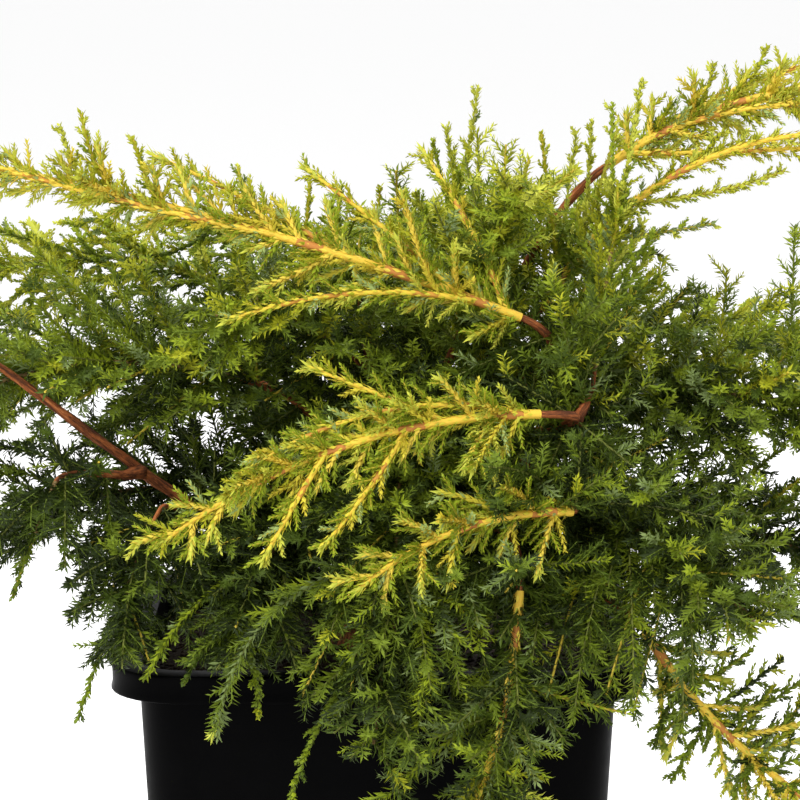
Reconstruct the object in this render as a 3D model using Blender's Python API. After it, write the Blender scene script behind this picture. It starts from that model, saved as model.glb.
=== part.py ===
"""A spreading juniper with golden shoots, growing in a square black nursery pot.

Metres, +Z up. The origin is the middle of the pot's flat underside, and the plant faces -Y.
A bearing is an angle seen from above, 0 along +X and 90 along +Y. A climb is an angle above level.
"""

import math
import random
from collections import namedtuple

import bmesh
import bpy
import numpy as np
from mathutils.bvhtree import BVHTree

# The pot: a square container with round corners and a collar turned down round its rim
POT_HEIGHT = 0.220
RIM_WIDTH = 0.238
BODY_WIDTH_TOP = 0.214
BODY_WIDTH_BASE = 0.190
POT_WALL = 0.002
COLLAR_DEPTH = 0.0125
RIM_CORNER = 0.034
BASE_CORNER = 0.026
CORNER_STEPS = 4
DRAIN_HOLES = 4
DRAIN_RADIUS = 0.007
DRAIN_SPREAD = 0.058
DRAIN_SIDES = 12

# The potting soil: flat round the trunk's foot and a little lower at the wall
SOIL_LEVEL = 0.206
SOIL_EDGE_DROP = 0.004
SOIL_MIDDLE_WIDTH = 0.070

# Clearances: pieces that bear on each other stay SEAT_GAP apart
SEAT_GAP = 0.0003
LIMB_CLEARANCE = 0.0015
POT_CLEARANCE = 0.004
SPACE_MARGIN = 0.001

# The trunk: root flare at the soil, then an even taper up to its flat top
TRUNK_FOOT = (-0.004, 0.004)
TRUNK_HEIGHT = 0.120
TRUNK_LEAN = (0.012, -0.006)
TRUNK_RADIUS = 0.0105
TRUNK_TOP_RADIUS = 0.0062
ROOT_FLARE = 0.007
FLARE_HEIGHT = 0.014
TRUNK_SIDES = 12
TRUNK_RINGS = 8
ROOT_RIDGES = 5
RIDGE_DEPTH = 0.12

# The boughs: round limbs that run from where they fork to the foot of their foliage
BOUGH_RADIUS = 0.0046
BOUGH_TIP_RADIUS = 0.0024
BOUGH_CLIMB = 34.0
STEEP_CLIMB = 52.0
FORK_ANGLE = 52.0
BOUGH_REACH = 0.36

# The foliage: three-sided twigs whose sides are drawn out into needle-like teeth
LEADER_RADIUS = 0.0022
SHOOT_RADIUS = 0.0017
TWIG_TIP_RADIUS = 0.0008
LEADER_PITCH = 0.028
SHOOT_PITCH = 0.023
SHOOT_SPACING = {"open": 0.052, "dense": 0.022}
FIRST_SHOOT = 0.012
TOOTH_LENGTH = 0.027
TOOTH_SHARES = (1.0, 0.75, 0.5)
TOOTH_LEAN = 47.0
SHOOT_ANGLE = 54.0
SHOOT_TAPER = 0.45
GOLDEN_ANGLE = 137.5

# The dense heart of a mass, how much room each mass claims, and how finely that room is looked at
CORE_SIDES = 6
CORE_LOOKS = 3
CORE_PITCH = 0.030
CORE_FROM = 0.010
CORE_SHARE = 0.70
CORE_LEAST = 0.0035
CORE_FIRST = 0.75
CORE_TAPER = 0.75
CLAIM_PER_CORE = 0.5
OPEN_CLAIM = 0.009
SPACE_STEP = 0.004

Limb = namedtuple(
    "Limb", "name forks_from along foot bearing climb length lift sweep side rise core tone"
)
Shoot = namedtuple("Shoot", "along bearing climb length lift")

# Each limb: what it forks from and how far along, the foot of its foliage in millimetres, the bearing,
# climb and length of its leading shoot, how much the climb and bearing change towards the tip, the
# longest side shoot, how much side shoots lift, the radius of the dense heart, and the tone.
LIMBS = (
    Limb("right_leader", "trunk", 0.80, (105, -30, 437), 346, 35, 205, -56, 0, 50, 10, 0, "gold"),
    Limb("left_leader", "trunk", 0.66, (63, -100, 376), 187, 22, 330, -15, 2, 42, 10, 0, "gold"),
    Limb("left_bough", "trunk", 0.08, (-166, -90, 353), 194, 38, 130, -60, 3, 76, -10, 15, "green"),
    Limb("golden_fan", "trunk", 0.56, (70, -140, 340), 198, 3, 178, -35, 6, 40, -10, 0, "gold"),
    Limb("front_low", "golden_fan", 0.45, (84, -142, 298), 204, 6, 108, -37, 10, 45, -25, 0, "gold"),
    Limb("front_skirt", "trunk", 0.08, (61, -148, 265), 258, -75, 130, 24, -49, 48, -5, 0, "green"),
    Limb("front_apron", "front_skirt", 0.50, (14, -118, 264), 256, -20, 116, -62, 0, 69, -15, 14, "dark"),
    Limb("right_skirt", "right_front", 0.60, (118, -96, 236), 327, -52, 150, 31, 20, 58, 10, 0, "gold"),
    Limb("left_skirt", "left_bough", 0.62, (-140, -112, 306), 228, -58, 90, -14, 0, 65, -25, 8, "dark"),
    Limb("left_rim_spray", "left_bough", 0.34, (-96, -92, 290), 240, -38, 100, -50, 10, 65, -25, 8, "dark"),
    Limb("upper_left", "trunk", 0.90, (-30, -26, 404), 189, 11, 262, 15, 3, 65, 45, 10, "lime"),
    Limb("centre_spire", "trunk", 1.00, (36, 8, 360), 85, 86, 114, -8, 0, 78, 30, 30, "lime"),
    Limb("centre_front", "trunk", 0.94, (34, -52, 356), 300, 60, 100, -14, 0, 65, 20, 20, "green"),
    Limb("right_upper", "right_leader", 0.40, (74, -44, 372), 348, 62, 160, -58, -16, 67, 30, 12, "lime"),
    Limb("stub_spray", "golden_fan", 0.74, (94, -104, 346), 65, 72, 112, -6, 0, 65, 25, 8, "lime"),
    Limb("right_middle", "trunk", 0.70, (58, -18, 322), 343, 16, 215, -38, 0, 82, 5, 28, "green"),
    Limb("right_front", "trunk", 0.34, (50, -52, 292), 314, 6, 165, -38, 0, 82, -5, 31, "green"),
    Limb("right_low", "trunk", 0.22, (58, -10, 278), 354, 5, 215, -40, -6, 82, -15, 34, "dark"),
    Limb("front_middle", "trunk", 0.42, (12, -50, 312), 268, 14, 150, -80, 0, 71, -20, 28, "green"),
    Limb("front_left", "trunk", 0.26, (-20, -50, 284), 246, 10, 134, -78, 0, 76, -25, 28, "dark"),
    Limb("centre_left", "trunk", 0.76, (-6, -34, 344), 226, 40, 100, -40, 0, 65, 0, 25, "dark"),
    Limb("left_front", "trunk", 0.52, (-42, -40, 332), 200, 26, 195, -58, 0, 80, 0, 24, "green"),
    Limb("left_side", "trunk", 0.62, (-50, 16, 328), 174, 18, 222, -48, 0, 82, 0, 26, "green"),
    Limb("left_low", "trunk", 0.32, (-48, -8, 284), 192, 9, 200, -46, 0, 82, -20, 32, "dark"),
    Limb("back_left", "trunk", 0.84, (-36, 44, 352), 150, 28, 230, -58, 0, 82, 10, 36, "lime"),
    Limb("back_middle", "trunk", 0.72, (8, 54, 350), 88, 34, 215, -66, 0, 86, 10, 40, "green"),
    Limb("back_right", "trunk", 0.46, (50, 38, 336), 34, 15, 235, -44, 0, 82, 5, 40, "lime"),
    Limb("back_low", "trunk", 0.28, (0, 56, 286), 100, 6, 175, -62, 0, 86, -20, 42, "dark"),
)

# The side shoots that stand out on a limb, which are placed one by one
PLACED_SHOOTS = {
    "right_leader": (
        Shoot(0.05, 15, 34, 150, -33),
        Shoot(0.14, 335, 22, 115, -32),
        Shoot(0.04, 328, 2, 110, 6),
    ),
    "left_leader": (
        Shoot(0.02, 136, 62, 84, -18),
        Shoot(0.06, 202, 14, 117, -30),
        Shoot(0.09, 171, 43, 86, -9),
        Shoot(0.25, 164, 30, 96, -9),
        Shoot(0.36, 193, 12, 140, 7),
    ),
    "golden_fan": (
        Shoot(0.03, 196, 16, 132, -50),
        Shoot(0.24, 179, 22, 62, 0),
        Shoot(0.34, 226, -48, 66, 14),
        Shoot(0.55, 232, -42, 56, -3),
    ),
    "front_middle": (
        Shoot(0.78, 188, 0, 118, -88),
        Shoot(0.42, 300, -14, 88, -50),
        Shoot(0.62, 285, -40, 84, -20),
        Shoot(0.55, 236, -30, 78, -30),
    ),
    "right_front": (
        Shoot(0.30, 276, -14, 92, -50),
        Shoot(0.52, 270, -36, 86, -25),
        Shoot(0.72, 268, -52, 76, -10),
    ),
    "right_middle": (
        Shoot(0.56, 85, 82, 94, -6),
        Shoot(0.34, 300, 20, 84, -50),
    ),
    "front_skirt": (
        Shoot(0.30, 2, -20, 52, 8),
        Shoot(0.36, 190, -32, 78, -14),
        Shoot(0.58, 340, -66, 52, 25),
    ),
    "right_skirt": (
        Shoot(0.20, 195, -8, 40, -10),
        Shoot(0.62, 240, -70, 40, 10),
    ),
}

TONES = {
    "gold": (0.52, 0.49, 0.09),
    "lime": (0.27, 0.38, 0.07),
    "green": (0.13, 0.24, 0.06),
    "dark": (0.07, 0.14, 0.05),
}


def heading(bearing, climb):
    """The unit vector of a bearing and a climb, in degrees."""
    b, c = math.radians(bearing), math.radians(climb)
    return np.array([math.cos(c) * math.cos(b), math.cos(c) * math.sin(b), math.sin(c)])


def bearing_and_climb(vector):
    x, y, z = vector / np.linalg.norm(vector)
    return math.degrees(math.atan2(y, x)), math.degrees(math.asin(z))


def route(start, bearing, climb, length, lift, sweep, pitch):
    """Points along a shoot whose climb and bearing change evenly from its root to its tip."""
    count = max(2, round(length / pitch))
    points = [np.array(start)]
    for step in range(count):
        t = (step + 0.5) / count
        ahead = heading(bearing + sweep * t, climb + lift * t)
        points.append(points[-1] + ahead * length / count)
    return np.array(points)


def resampled(points, pitch):
    """The same line with a point at about every pitch, its ends kept."""
    lengths = np.linalg.norm(np.diff(points, axis=0), axis=1)
    along = np.concatenate([[0.0], np.cumsum(lengths)])
    count = max(2, math.ceil(along[-1] / pitch))
    places = np.linspace(0.0, along[-1], count + 1)
    return np.stack([np.interp(places, along, points[:, axis]) for axis in range(3)], axis=1)


def material(name, colour, roughness):
    found = bpy.data.materials.get(name) or bpy.data.materials.new(name)
    found.use_nodes = True
    shader = found.node_tree.nodes["Principled BSDF"]
    shader.inputs["Base Color"].default_value = (*colour, 1.0)
    shader.inputs["Roughness"].default_value = roughness
    shader.inputs["Metallic"].default_value = 0.0
    return found


def new_object(name, data, finish, collection):
    obj = bpy.data.objects.new(name, data)
    data.materials.append(finish)
    collection.objects.link(obj)
    return obj


def rounded_square_ring(bm, z, half_width, corner):
    """A ring of vertices at a height, from the corner at +X +Y round to it again."""
    inner = half_width - corner
    ring = []
    for quarter in range(4):
        cx = inner if quarter in (0, 3) else -inner
        cy = inner if quarter in (0, 1) else -inner
        for step in range(CORNER_STEPS + 1):
            angle = math.radians(90 * (quarter + step / CORNER_STEPS))
            ring.append(bm.verts.new((cx + corner * math.cos(angle), cy + corner * math.sin(angle), z)))
    return ring


def closed_loft(name, bm, rings, finish, collection):
    """An object whose skin runs from ring to ring, with its first and last ring filled."""
    for nearer, further in zip(rings, rings[1:]):
        for corner in range(len(nearer)):
            bm.faces.new((nearer[corner - 1], nearer[corner], further[corner], further[corner - 1]))
    for ring in (rings[0], rings[-1]):
        bm.faces.new(ring)
    bmesh.ops.recalc_face_normals(bm, faces=bm.faces)
    mesh = bpy.data.meshes.new(name)
    bm.to_mesh(mesh)
    bm.free()
    return new_object(name, mesh, finish, collection)


def pot_half_width(z):
    """Half the width of the pot's outer wall at a height."""
    t = z / POT_HEIGHT
    return (BODY_WIDTH_BASE * (1 - t) + BODY_WIDTH_TOP * t) / 2


def pot_corner(z):
    t = z / POT_HEIGHT
    return BASE_CORNER * (1 - t) + (RIM_CORNER - (RIM_WIDTH - BODY_WIDTH_TOP) / 2) * t


def make_pot(collection, cutters):
    """One wall lofted from the underside up, out and down round the collar, and back to the floor."""
    bm = bmesh.new()
    flange = POT_HEIGHT - POT_WALL
    collar = POT_HEIGHT - COLLAR_DEPTH
    rim = RIM_WIDTH / 2
    rings = [
        rounded_square_ring(bm, z, half, corner)
        for z, half, corner in (
            (0.0, pot_half_width(0.0), pot_corner(0.0)),
            (flange, pot_half_width(flange), pot_corner(flange)),
            (flange, rim - POT_WALL, RIM_CORNER - POT_WALL),
            (collar, rim - POT_WALL, RIM_CORNER - POT_WALL),
            (collar, rim, RIM_CORNER),
            (POT_HEIGHT, rim, RIM_CORNER),
            (POT_HEIGHT, pot_half_width(POT_HEIGHT) - POT_WALL, pot_corner(POT_HEIGHT) - POT_WALL),
            (POT_WALL, pot_half_width(POT_WALL) - POT_WALL, pot_corner(POT_WALL) - POT_WALL),
        )
    ]
    pot = closed_loft("pot", bm, rings, material("pot_plastic", (0.012, 0.012, 0.013), 0.45), collection)

    for hole in range(DRAIN_HOLES):
        angle = math.radians(45 + 360 * hole / DRAIN_HOLES)
        place = (DRAIN_SPREAD * math.cos(angle), DRAIN_SPREAD * math.sin(angle), 0.0)
        bpy.ops.mesh.primitive_cylinder_add(
            vertices=DRAIN_SIDES, radius=DRAIN_RADIUS, depth=POT_WALL * 4, location=place
        )
        cutter = bpy.context.object
        cutter.name = f"drain_cutter_{hole + 1}"
        cutter.hide_render = True
        cutter.display_type = "WIRE"
        for holder in list(cutter.users_collection):
            holder.objects.unlink(cutter)
        cutters.objects.link(cutter)
        cut = pot.modifiers.new(f"drain_{hole + 1}", "BOOLEAN")
        cut.operation = "DIFFERENCE"
        cut.object = cutter
    return pot


def make_soil(collection):
    """The block of soil that fills the pot, clear of its walls."""
    clear = POT_WALL + SEAT_GAP
    floor = POT_WALL + SEAT_GAP
    edge = SOIL_LEVEL - SOIL_EDGE_DROP
    bm = bmesh.new()
    rings = [
        rounded_square_ring(bm, z, half, corner)
        for z, half, corner in (
            (floor, pot_half_width(floor) - clear, pot_corner(floor) - POT_WALL),
            (edge, pot_half_width(edge) - clear, pot_corner(edge) - POT_WALL),
            (SOIL_LEVEL, SOIL_MIDDLE_WIDTH / 2, SOIL_MIDDLE_WIDTH / 5),
        )
    ]
    return closed_loft("soil", bm, rings, material("potting_soil", (0.035, 0.022, 0.014), 0.95), collection)


def trunk_axis(t):
    """The middle of the trunk at a share t of its height, leaning more towards the top."""
    x = TRUNK_FOOT[0] + TRUNK_LEAN[0] * t * t
    y = TRUNK_FOOT[1] + TRUNK_LEAN[1] * t * t
    return np.array([x, y, SOIL_LEVEL + SEAT_GAP + TRUNK_HEIGHT * t])


def trunk_radius(t):
    flare = ROOT_FLARE * math.exp(-t * TRUNK_HEIGHT / FLARE_HEIGHT)
    return TRUNK_RADIUS * (1 - t) + TRUNK_TOP_RADIUS * t + flare


def make_trunk(collection):
    """A round column bent to the trunk's axis and drawn in and out to its taper and flare."""
    bm = bmesh.new()
    bmesh.ops.create_cone(
        bm, cap_ends=True, segments=TRUNK_SIDES, radius1=1.0, radius2=1.0, depth=1.0
    )
    upright = [edge for edge in bm.edges if abs(edge.verts[0].co.z - edge.verts[1].co.z) > 0.5]
    bmesh.ops.subdivide_edges(bm, edges=upright, cuts=TRUNK_RINGS - 1)
    for vertex in bm.verts:
        # Rings crowd towards the foot, where the flare bends most.
        t = (vertex.co.z + 0.5) ** 1.5
        side = np.array([vertex.co.x, vertex.co.y, 0.0])
        round_it = math.cos(ROOT_RIDGES * math.atan2(side[1], side[0]))
        ridge = 1 + RIDGE_DEPTH * round_it * math.exp(-4 * t)
        vertex.co = trunk_axis(t) + side * trunk_radius(t) * ridge
    mesh = bpy.data.meshes.new("trunk")
    bm.to_mesh(mesh)
    bm.free()
    return new_object("trunk", mesh, material("bark", (0.20, 0.085, 0.040), 0.85), collection)


def surface_tree(obj):
    return BVHTree.FromObject(obj, bpy.context.evaluated_depsgraph_get())


def seated_start(carrier, middle, ahead, radius):
    """Walks out from a limb's middle until a flat end of this radius clears its bark by SEAT_GAP."""
    across = np.cross(ahead, (0.0, 0.0, 1.0))
    across /= np.linalg.norm(across)
    over = np.cross(across, ahead)
    end = [
        radius * share * (math.cos(turn) * across + math.sin(turn) * over)
        for share in (0.0, 0.35, 0.7, 1.0)
        for turn in np.linspace(0, math.tau, 13)
    ]
    reach = 0.0
    while True:
        centre = middle + ahead * reach
        gaps = []
        for offset in end:
            place, normal, _, distance = carrier.find_nearest(centre + offset)
            outside = np.dot(centre + offset - np.array(place), normal) > 0
            gaps.append(distance if outside else -distance)
        if min(gaps) >= SEAT_GAP:
            return centre
        reach += SEAT_GAP / 3


def bezier(start, leave, arrive, end, t):
    return (
        start * (1 - t) ** 3
        + leave * 3 * t * (1 - t) ** 2
        + arrive * 3 * t * t * (1 - t)
        + end * t**3
    )


def fork_heading(middle, along, foot):
    """Where a side bough leaves the one that carries it: out towards its foot, at the fork's angle."""
    wanted = foot - middle
    out = wanted - along * (wanted @ along)
    out /= np.linalg.norm(out)
    angle = math.radians(FORK_ANGLE)
    return math.cos(angle) * along + math.sin(angle) * out


def bough_line(bends, count=24):
    return np.array([bezier(*bends, t) for t in np.linspace(0, 1, count + 1)])


def make_bough(limb, carrier, middle, ahead, collection):
    """One tapering limb: a Bezier curve from its seat on the carrier to the foot of its foliage."""
    foot = np.array(limb.foot) / 1000
    start = seated_start(carrier, middle, ahead, BOUGH_RADIUS)
    reach = BOUGH_REACH * np.linalg.norm(foot - start)
    bends = (start, start + ahead * reach, foot - heading(limb.bearing, limb.climb) * reach, foot)
    curve = bpy.data.curves.new(f"bough_{limb.name}", "CURVE")
    curve.dimensions = "3D"
    curve.bevel_depth = BOUGH_RADIUS
    curve.bevel_resolution = 1
    curve.resolution_u = 5
    curve.use_fill_caps = True
    spline = curve.splines.new("BEZIER")
    spline.bezier_points.add(1)
    first, last = spline.bezier_points
    first.co, first.handle_right = bends[0], bends[1]
    first.handle_left = 2 * bends[0] - bends[1]
    last.handle_left, last.co = bends[2], bends[3]
    last.handle_right = 2 * bends[3] - bends[2]
    last.radius = BOUGH_TIP_RADIUS / BOUGH_RADIUS
    bough = new_object(f"bough_{limb.name}", curve, bpy.data.materials["bark"], collection)
    return bough, bough_line(bends)


def leader_of(limb, pitch):
    ahead = heading(limb.bearing, limb.climb)
    start = np.array(limb.foot) / 1000 + ahead * SEAT_GAP
    return route(
        start, limb.bearing, limb.climb, limb.length / 1000, limb.lift, limb.sweep, pitch
    )


def point_on(points, share):
    """The point and the direction at a share of a line's length."""
    place = share * (len(points) - 1)
    index = min(int(place), len(points) - 2)
    ahead = points[index + 1] - points[index]
    return points[index] + ahead * (place - index), ahead / np.linalg.norm(ahead)


def placed_routes(limb, leader, pitch):
    routes = []
    for shoot in PLACED_SHOOTS.get(limb.name, ()):
        root, _ = point_on(leader, shoot.along)
        line = route(root, shoot.bearing, shoot.climb, shoot.length / 1000, shoot.lift, 0.0, pitch)
        routes.append(line)
    return routes


class Space:
    """Which mass owns each point: the nearest leader or placed shoot, with dense masses claiming more."""

    def __init__(self, bough_lines):
        spines = []
        for limb in LIMBS:
            leader = leader_of(limb, SPACE_STEP)
            spines.append(np.concatenate([leader] + placed_routes(limb, leader, SPACE_STEP)))
        self.points = np.concatenate(spines)
        self.owners = np.repeat(np.arange(len(LIMBS)), [len(spine) for spine in spines])
        self.claims = np.array(
            [limb.core / 1000 * CLAIM_PER_CORE if limb.core else OPEN_CLAIM for limb in LIMBS]
        )
        self.wood = np.concatenate(list(bough_lines.values()))
        self.wood_radii = np.concatenate(
            [np.linspace(BOUGH_RADIUS, BOUGH_TIP_RADIUS, len(line)) for line in bough_lines.values()]
        )

    def free(self, points, owner, thickness):
        """True for each point in the owner's space, clear of the wood, the soil and the pot."""
        away = np.linalg.norm(points[:, None] - self.points, axis=2)
        away -= self.claims[self.owners]
        own = away[:, self.owners == owner].min(axis=1)
        other = away[:, self.owners != owner].min(axis=1)
        bark = np.linalg.norm(points[:, None] - self.wood, axis=2) - self.wood_radii
        inside_pot = np.abs(points[:, :2]).max(axis=1) < RIM_WIDTH / 2 + POT_CLEARANCE
        low = points[:, 2] < POT_HEIGHT + POT_CLEARANCE
        return (
            (own < other - 2 * (SPACE_MARGIN + thickness))
            & (bark.min(axis=1) > LIMB_CLEARANCE + thickness)
            & ~(inside_pot & low)
        )


def kept_length(line, space, owner, start):
    """The line from its root to where it would leave the mass's space, looked at every few millimetres."""
    fine = resampled(line, SPACE_STEP)
    free = space.free(fine, owner, SHOOT_RADIUS)
    free[: math.ceil(start / SPACE_STEP)] = True
    stop = len(fine) if free.all() else int(np.argmin(free))
    return fine[:stop]


def seeded_routes(limb, owner, leader, space):
    """Side shoots that stand round the leader by the golden angle and shorten towards its tip."""
    draw = random.Random(owner + 1)
    length = limb.length / 1000
    spacing = SHOOT_SPACING["dense" if limb.core else "open"]
    count = int((length - FIRST_SHOOT) / spacing)
    turn = draw.uniform(0, 360)
    routes = []
    for number in range(count):
        share = (FIRST_SHOOT + spacing * (number + draw.uniform(0.0, 0.6))) / length
        root, ahead = point_on(leader, share)
        across = np.cross(ahead, (0.0, 0.0, 1.0))
        across /= np.linalg.norm(across)
        over = np.cross(across, ahead)
        turn += GOLDEN_ANGLE + draw.uniform(-15, 15)
        spread = math.radians(SHOOT_ANGLE - 16 * share + draw.uniform(-6, 6))
        out = math.cos(math.radians(turn)) * across + math.sin(math.radians(turn)) * over
        bearing, climb = bearing_and_climb(math.cos(spread) * ahead + math.sin(spread) * out)
        size = limb.side / 1000 * (1 - SHOOT_TAPER * share) * draw.uniform(0.85, 1.15)
        line = route(root, bearing, climb, size, limb.rise, 0.0, SHOOT_PITCH)
        routes.append(kept_length(line, space, owner, LEADER_RADIUS * 4))
    return routes


def ring_frames(points, first):
    """At each point of a line the direction and two vectors across it, carried on without a twist."""
    ahead = np.gradient(points, axis=0)
    ahead[0] = first
    ahead /= np.linalg.norm(ahead, axis=1)[:, None]
    side = np.cross(ahead[0], (0.0, 0.0, 1.0))
    frames = []
    for direction in ahead:
        side = side - direction * (side @ direction)
        side /= np.linalg.norm(side)
        frames.append((direction, side, np.cross(direction, side)))
    return frames


def draw_out(bm, face, tooth, owner, space):
    """Draws a face out into a tooth, a shorter one where the mass's space is narrow, or none."""
    middle = np.array(face.calc_center_median())
    corners = np.array([vertex.co for vertex in face.verts])
    for share in TOOTH_SHARES:
        tip = middle + tooth * share
        edges = corners + (tip - corners) * np.linspace(0.25, 1.0, 6)[:, None, None]
        if space.free(edges.reshape(-1, 3), owner, SPACE_MARGIN / 2).all():
            poked = bmesh.ops.poke(bm, faces=[face])["verts"][0]
            poked.co = tip
            return


def make_twig(line, pitch, root_radius, radius, turn, teeth_from, owner, space):
    """A three-sided twig whose sides are drawn out, three at each step, into forward-leaning teeth."""
    points = resampled(line, pitch)
    frames = ring_frames(points, line[1] - line[0])
    steps = len(points) - 1
    bm = bmesh.new()
    rings = []
    for index in range(steps):
        size = root_radius if index == 0 else radius + (TWIG_TIP_RADIUS - radius) * index / steps
        _, side, over = frames[index]
        ring = []
        for corner in range(3):
            angle = math.radians(turn + 120 * corner)
            offset = size * (math.cos(angle) * side + math.sin(angle) * over)
            ring.append(bm.verts.new(points[index] + offset))
        rings.append(ring)
    bm.faces.new(reversed(rings[0]))
    tip = bm.verts.new(points[-1])
    for corner in range(3):
        bm.faces.new((rings[-1][corner], rings[-1][(corner + 1) % 3], tip))
    lean = math.radians(TOOTH_LEAN)
    for index in range(steps - 1):
        for corner in range(3):
            nearer, further = rings[index], rings[index + 1]
            after = (corner + 1) % 3
            face = bm.faces.new((nearer[corner], nearer[after], further[after], further[corner]))
            if index < teeth_from:
                continue
            middle = np.array(face.calc_center_median())
            ahead = frames[index][0]
            out = middle - (points[index] + points[index + 1]) / 2
            out -= ahead * (out @ ahead)
            out /= np.linalg.norm(out)
            length = TOOTH_LENGTH * (1.1 - 0.5 * index / steps)
            draw_out(bm, face, (math.cos(lean) * out + math.sin(lean) * ahead) * length, owner, space)
    bmesh.ops.triangulate(bm, faces=bm.faces)
    bmesh.ops.recalc_face_normals(bm, faces=bm.faces)
    mesh = bpy.data.meshes.new("twig")
    bm.to_mesh(mesh)
    bm.free()
    return mesh


def free_reach(points, frames, sides, most, owner, space):
    """How far out from each point, in each direction round it, the mass's space stays free."""
    steps = np.arange(CORE_LEAST, most + SPACE_STEP, SPACE_STEP)
    reach = np.empty((len(points), sides))
    for row, (point, (_, side, over)) in enumerate(zip(points, frames)):
        angles = np.arange(sides) * math.tau / sides
        rays = np.cos(angles)[:, None] * side + np.sin(angles)[:, None] * over
        places = point + rays[:, None] * steps[:, None]
        free = space.free(places.reshape(-1, 3), owner, SPACE_MARGIN).reshape(sides, len(steps))
        clear = np.minimum.accumulate(free, axis=1).sum(axis=1)
        reach[row] = np.where(clear > 0, steps[np.maximum(clear - 1, 0)], CORE_LEAST)
    return reach


def make_core(limb, leader, owner, space):
    """The dense heart round a leader: rings of six that stop where the mass's space does."""
    draw = random.Random(500 + owner)
    length = limb.length / 1000
    first, last = int(CORE_FROM / SPACE_STEP), int(CORE_SHARE * length / SPACE_STEP)
    spine = resampled(leader[first : last + 1], CORE_PITCH / CORE_LOOKS)
    frames = ring_frames(spine, spine[1] - spine[0])
    most = limb.core / 1000
    reach = free_reach(spine, frames, CORE_SIDES * CORE_LOOKS, most * 1.2, owner, space)
    stations = list(range(0, len(spine) - CORE_LOOKS // 2, CORE_LOOKS))
    bm = bmesh.new()
    rings = []
    for row in stations:
        _, side, over = frames[row]
        swell = CORE_FIRST if row == 0 else 1 - CORE_TAPER * row / len(spine)
        ring = []
        for corner in range(CORE_SIDES):
            nearby = reach[max(0, row - CORE_LOOKS) : row + CORE_LOOKS + 1]
            nearby = np.roll(nearby, CORE_LOOKS * (1 - corner), axis=1)[:, : 2 * CORE_LOOKS + 1]
            size = min(most * swell * draw.uniform(0.8, 1.2), nearby.min())
            angle = math.tau * corner / CORE_SIDES
            ring.append(bm.verts.new(spine[row] + size * (math.cos(angle) * side + math.sin(angle) * over)))
        rings.append(ring)
    ends = [bm.verts.new(spine[0] - frames[0][0] * 0.004), bm.verts.new(spine[-1])]
    for nearer, further in zip(rings, rings[1:]):
        for corner in range(CORE_SIDES):
            bm.faces.new((nearer[corner - 1], nearer[corner], further[corner], further[corner - 1]))
    for ring, end in ((rings[0], ends[0]), (rings[-1], ends[1])):
        for corner in range(CORE_SIDES):
            bm.faces.new((ring[corner - 1], ring[corner], end))
    bmesh.ops.triangulate(bm, faces=bm.faces)
    bmesh.ops.recalc_face_normals(bm, faces=bm.faces)
    mesh = bpy.data.meshes.new("core")
    bm.to_mesh(mesh)
    bm.free()
    return mesh


def drop_scraps(mesh):
    """Keeps only the largest connected piece of a mesh."""
    bm = bmesh.new()
    bm.from_mesh(mesh)
    left = set(bm.verts)
    pieces = []
    while left:
        reached = [left.pop()]
        for vertex in reached:
            for edge in vertex.link_edges:
                other = edge.other_vert(vertex)
                if other in left:
                    left.remove(other)
                    reached.append(other)
        pieces.append(reached)
    pieces.sort(key=len)
    for scrap in pieces[:-1]:
        bmesh.ops.delete(bm, geom=scrap, context="VERTS")
    bmesh.ops.triangulate(bm, faces=bm.faces)
    bm.to_mesh(mesh)
    bm.free()


def make_mass(limb, owner, space, collection, helpers):
    """The leader with all its side shoots, joined by one Boolean union into one solid."""
    leader = leader_of(limb, SPACE_STEP)
    draw = random.Random(1000 + owner)
    finish = material(f"needles_{limb.tone}", TONES[limb.tone], 0.6)
    bare = int(CORE_SHARE * limb.length / 1000 / LEADER_PITCH) if limb.core else 1
    mesh = make_twig(
        leader, LEADER_PITCH, LEADER_RADIUS, LEADER_RADIUS, draw.uniform(0, 120), bare, owner, space
    )
    mass = new_object(f"foliage_{limb.name}", mesh, finish, collection)
    twigs = bpy.data.collections.new(f"twigs_{limb.name}")
    helpers.children.link(twigs)
    placed = [
        kept_length(line, space, owner, LEADER_RADIUS * 4)
        for line in placed_routes(limb, leader, SHOOT_PITCH)
    ]
    for line in placed + seeded_routes(limb, owner, leader, space):
        if len(line) * SPACE_STEP < 2 * SHOOT_PITCH:
            continue
        twig = make_twig(
            line, SHOOT_PITCH, TWIG_TIP_RADIUS, SHOOT_RADIUS, draw.uniform(0, 120), 0, owner, space
        )
        new_object(twig.name, twig, finish, twigs)
    if limb.core:
        core = make_core(limb, leader, owner, space)
        new_object(core.name, core, finish, twigs)
    join = mass.modifiers.new("join", "BOOLEAN")
    join.operation = "UNION"
    join.operand_type = "COLLECTION"
    join.collection = twigs
    joined = bpy.data.meshes.new_from_object(mass.evaluated_get(bpy.context.evaluated_depsgraph_get()))
    mass.modifiers.clear()
    mass.data = joined
    joined.name = mass.name
    drop_scraps(joined)
    for twig in list(twigs.objects):
        bpy.data.objects.remove(twig)
    bpy.data.collections.remove(twigs)
    return mass


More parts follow.
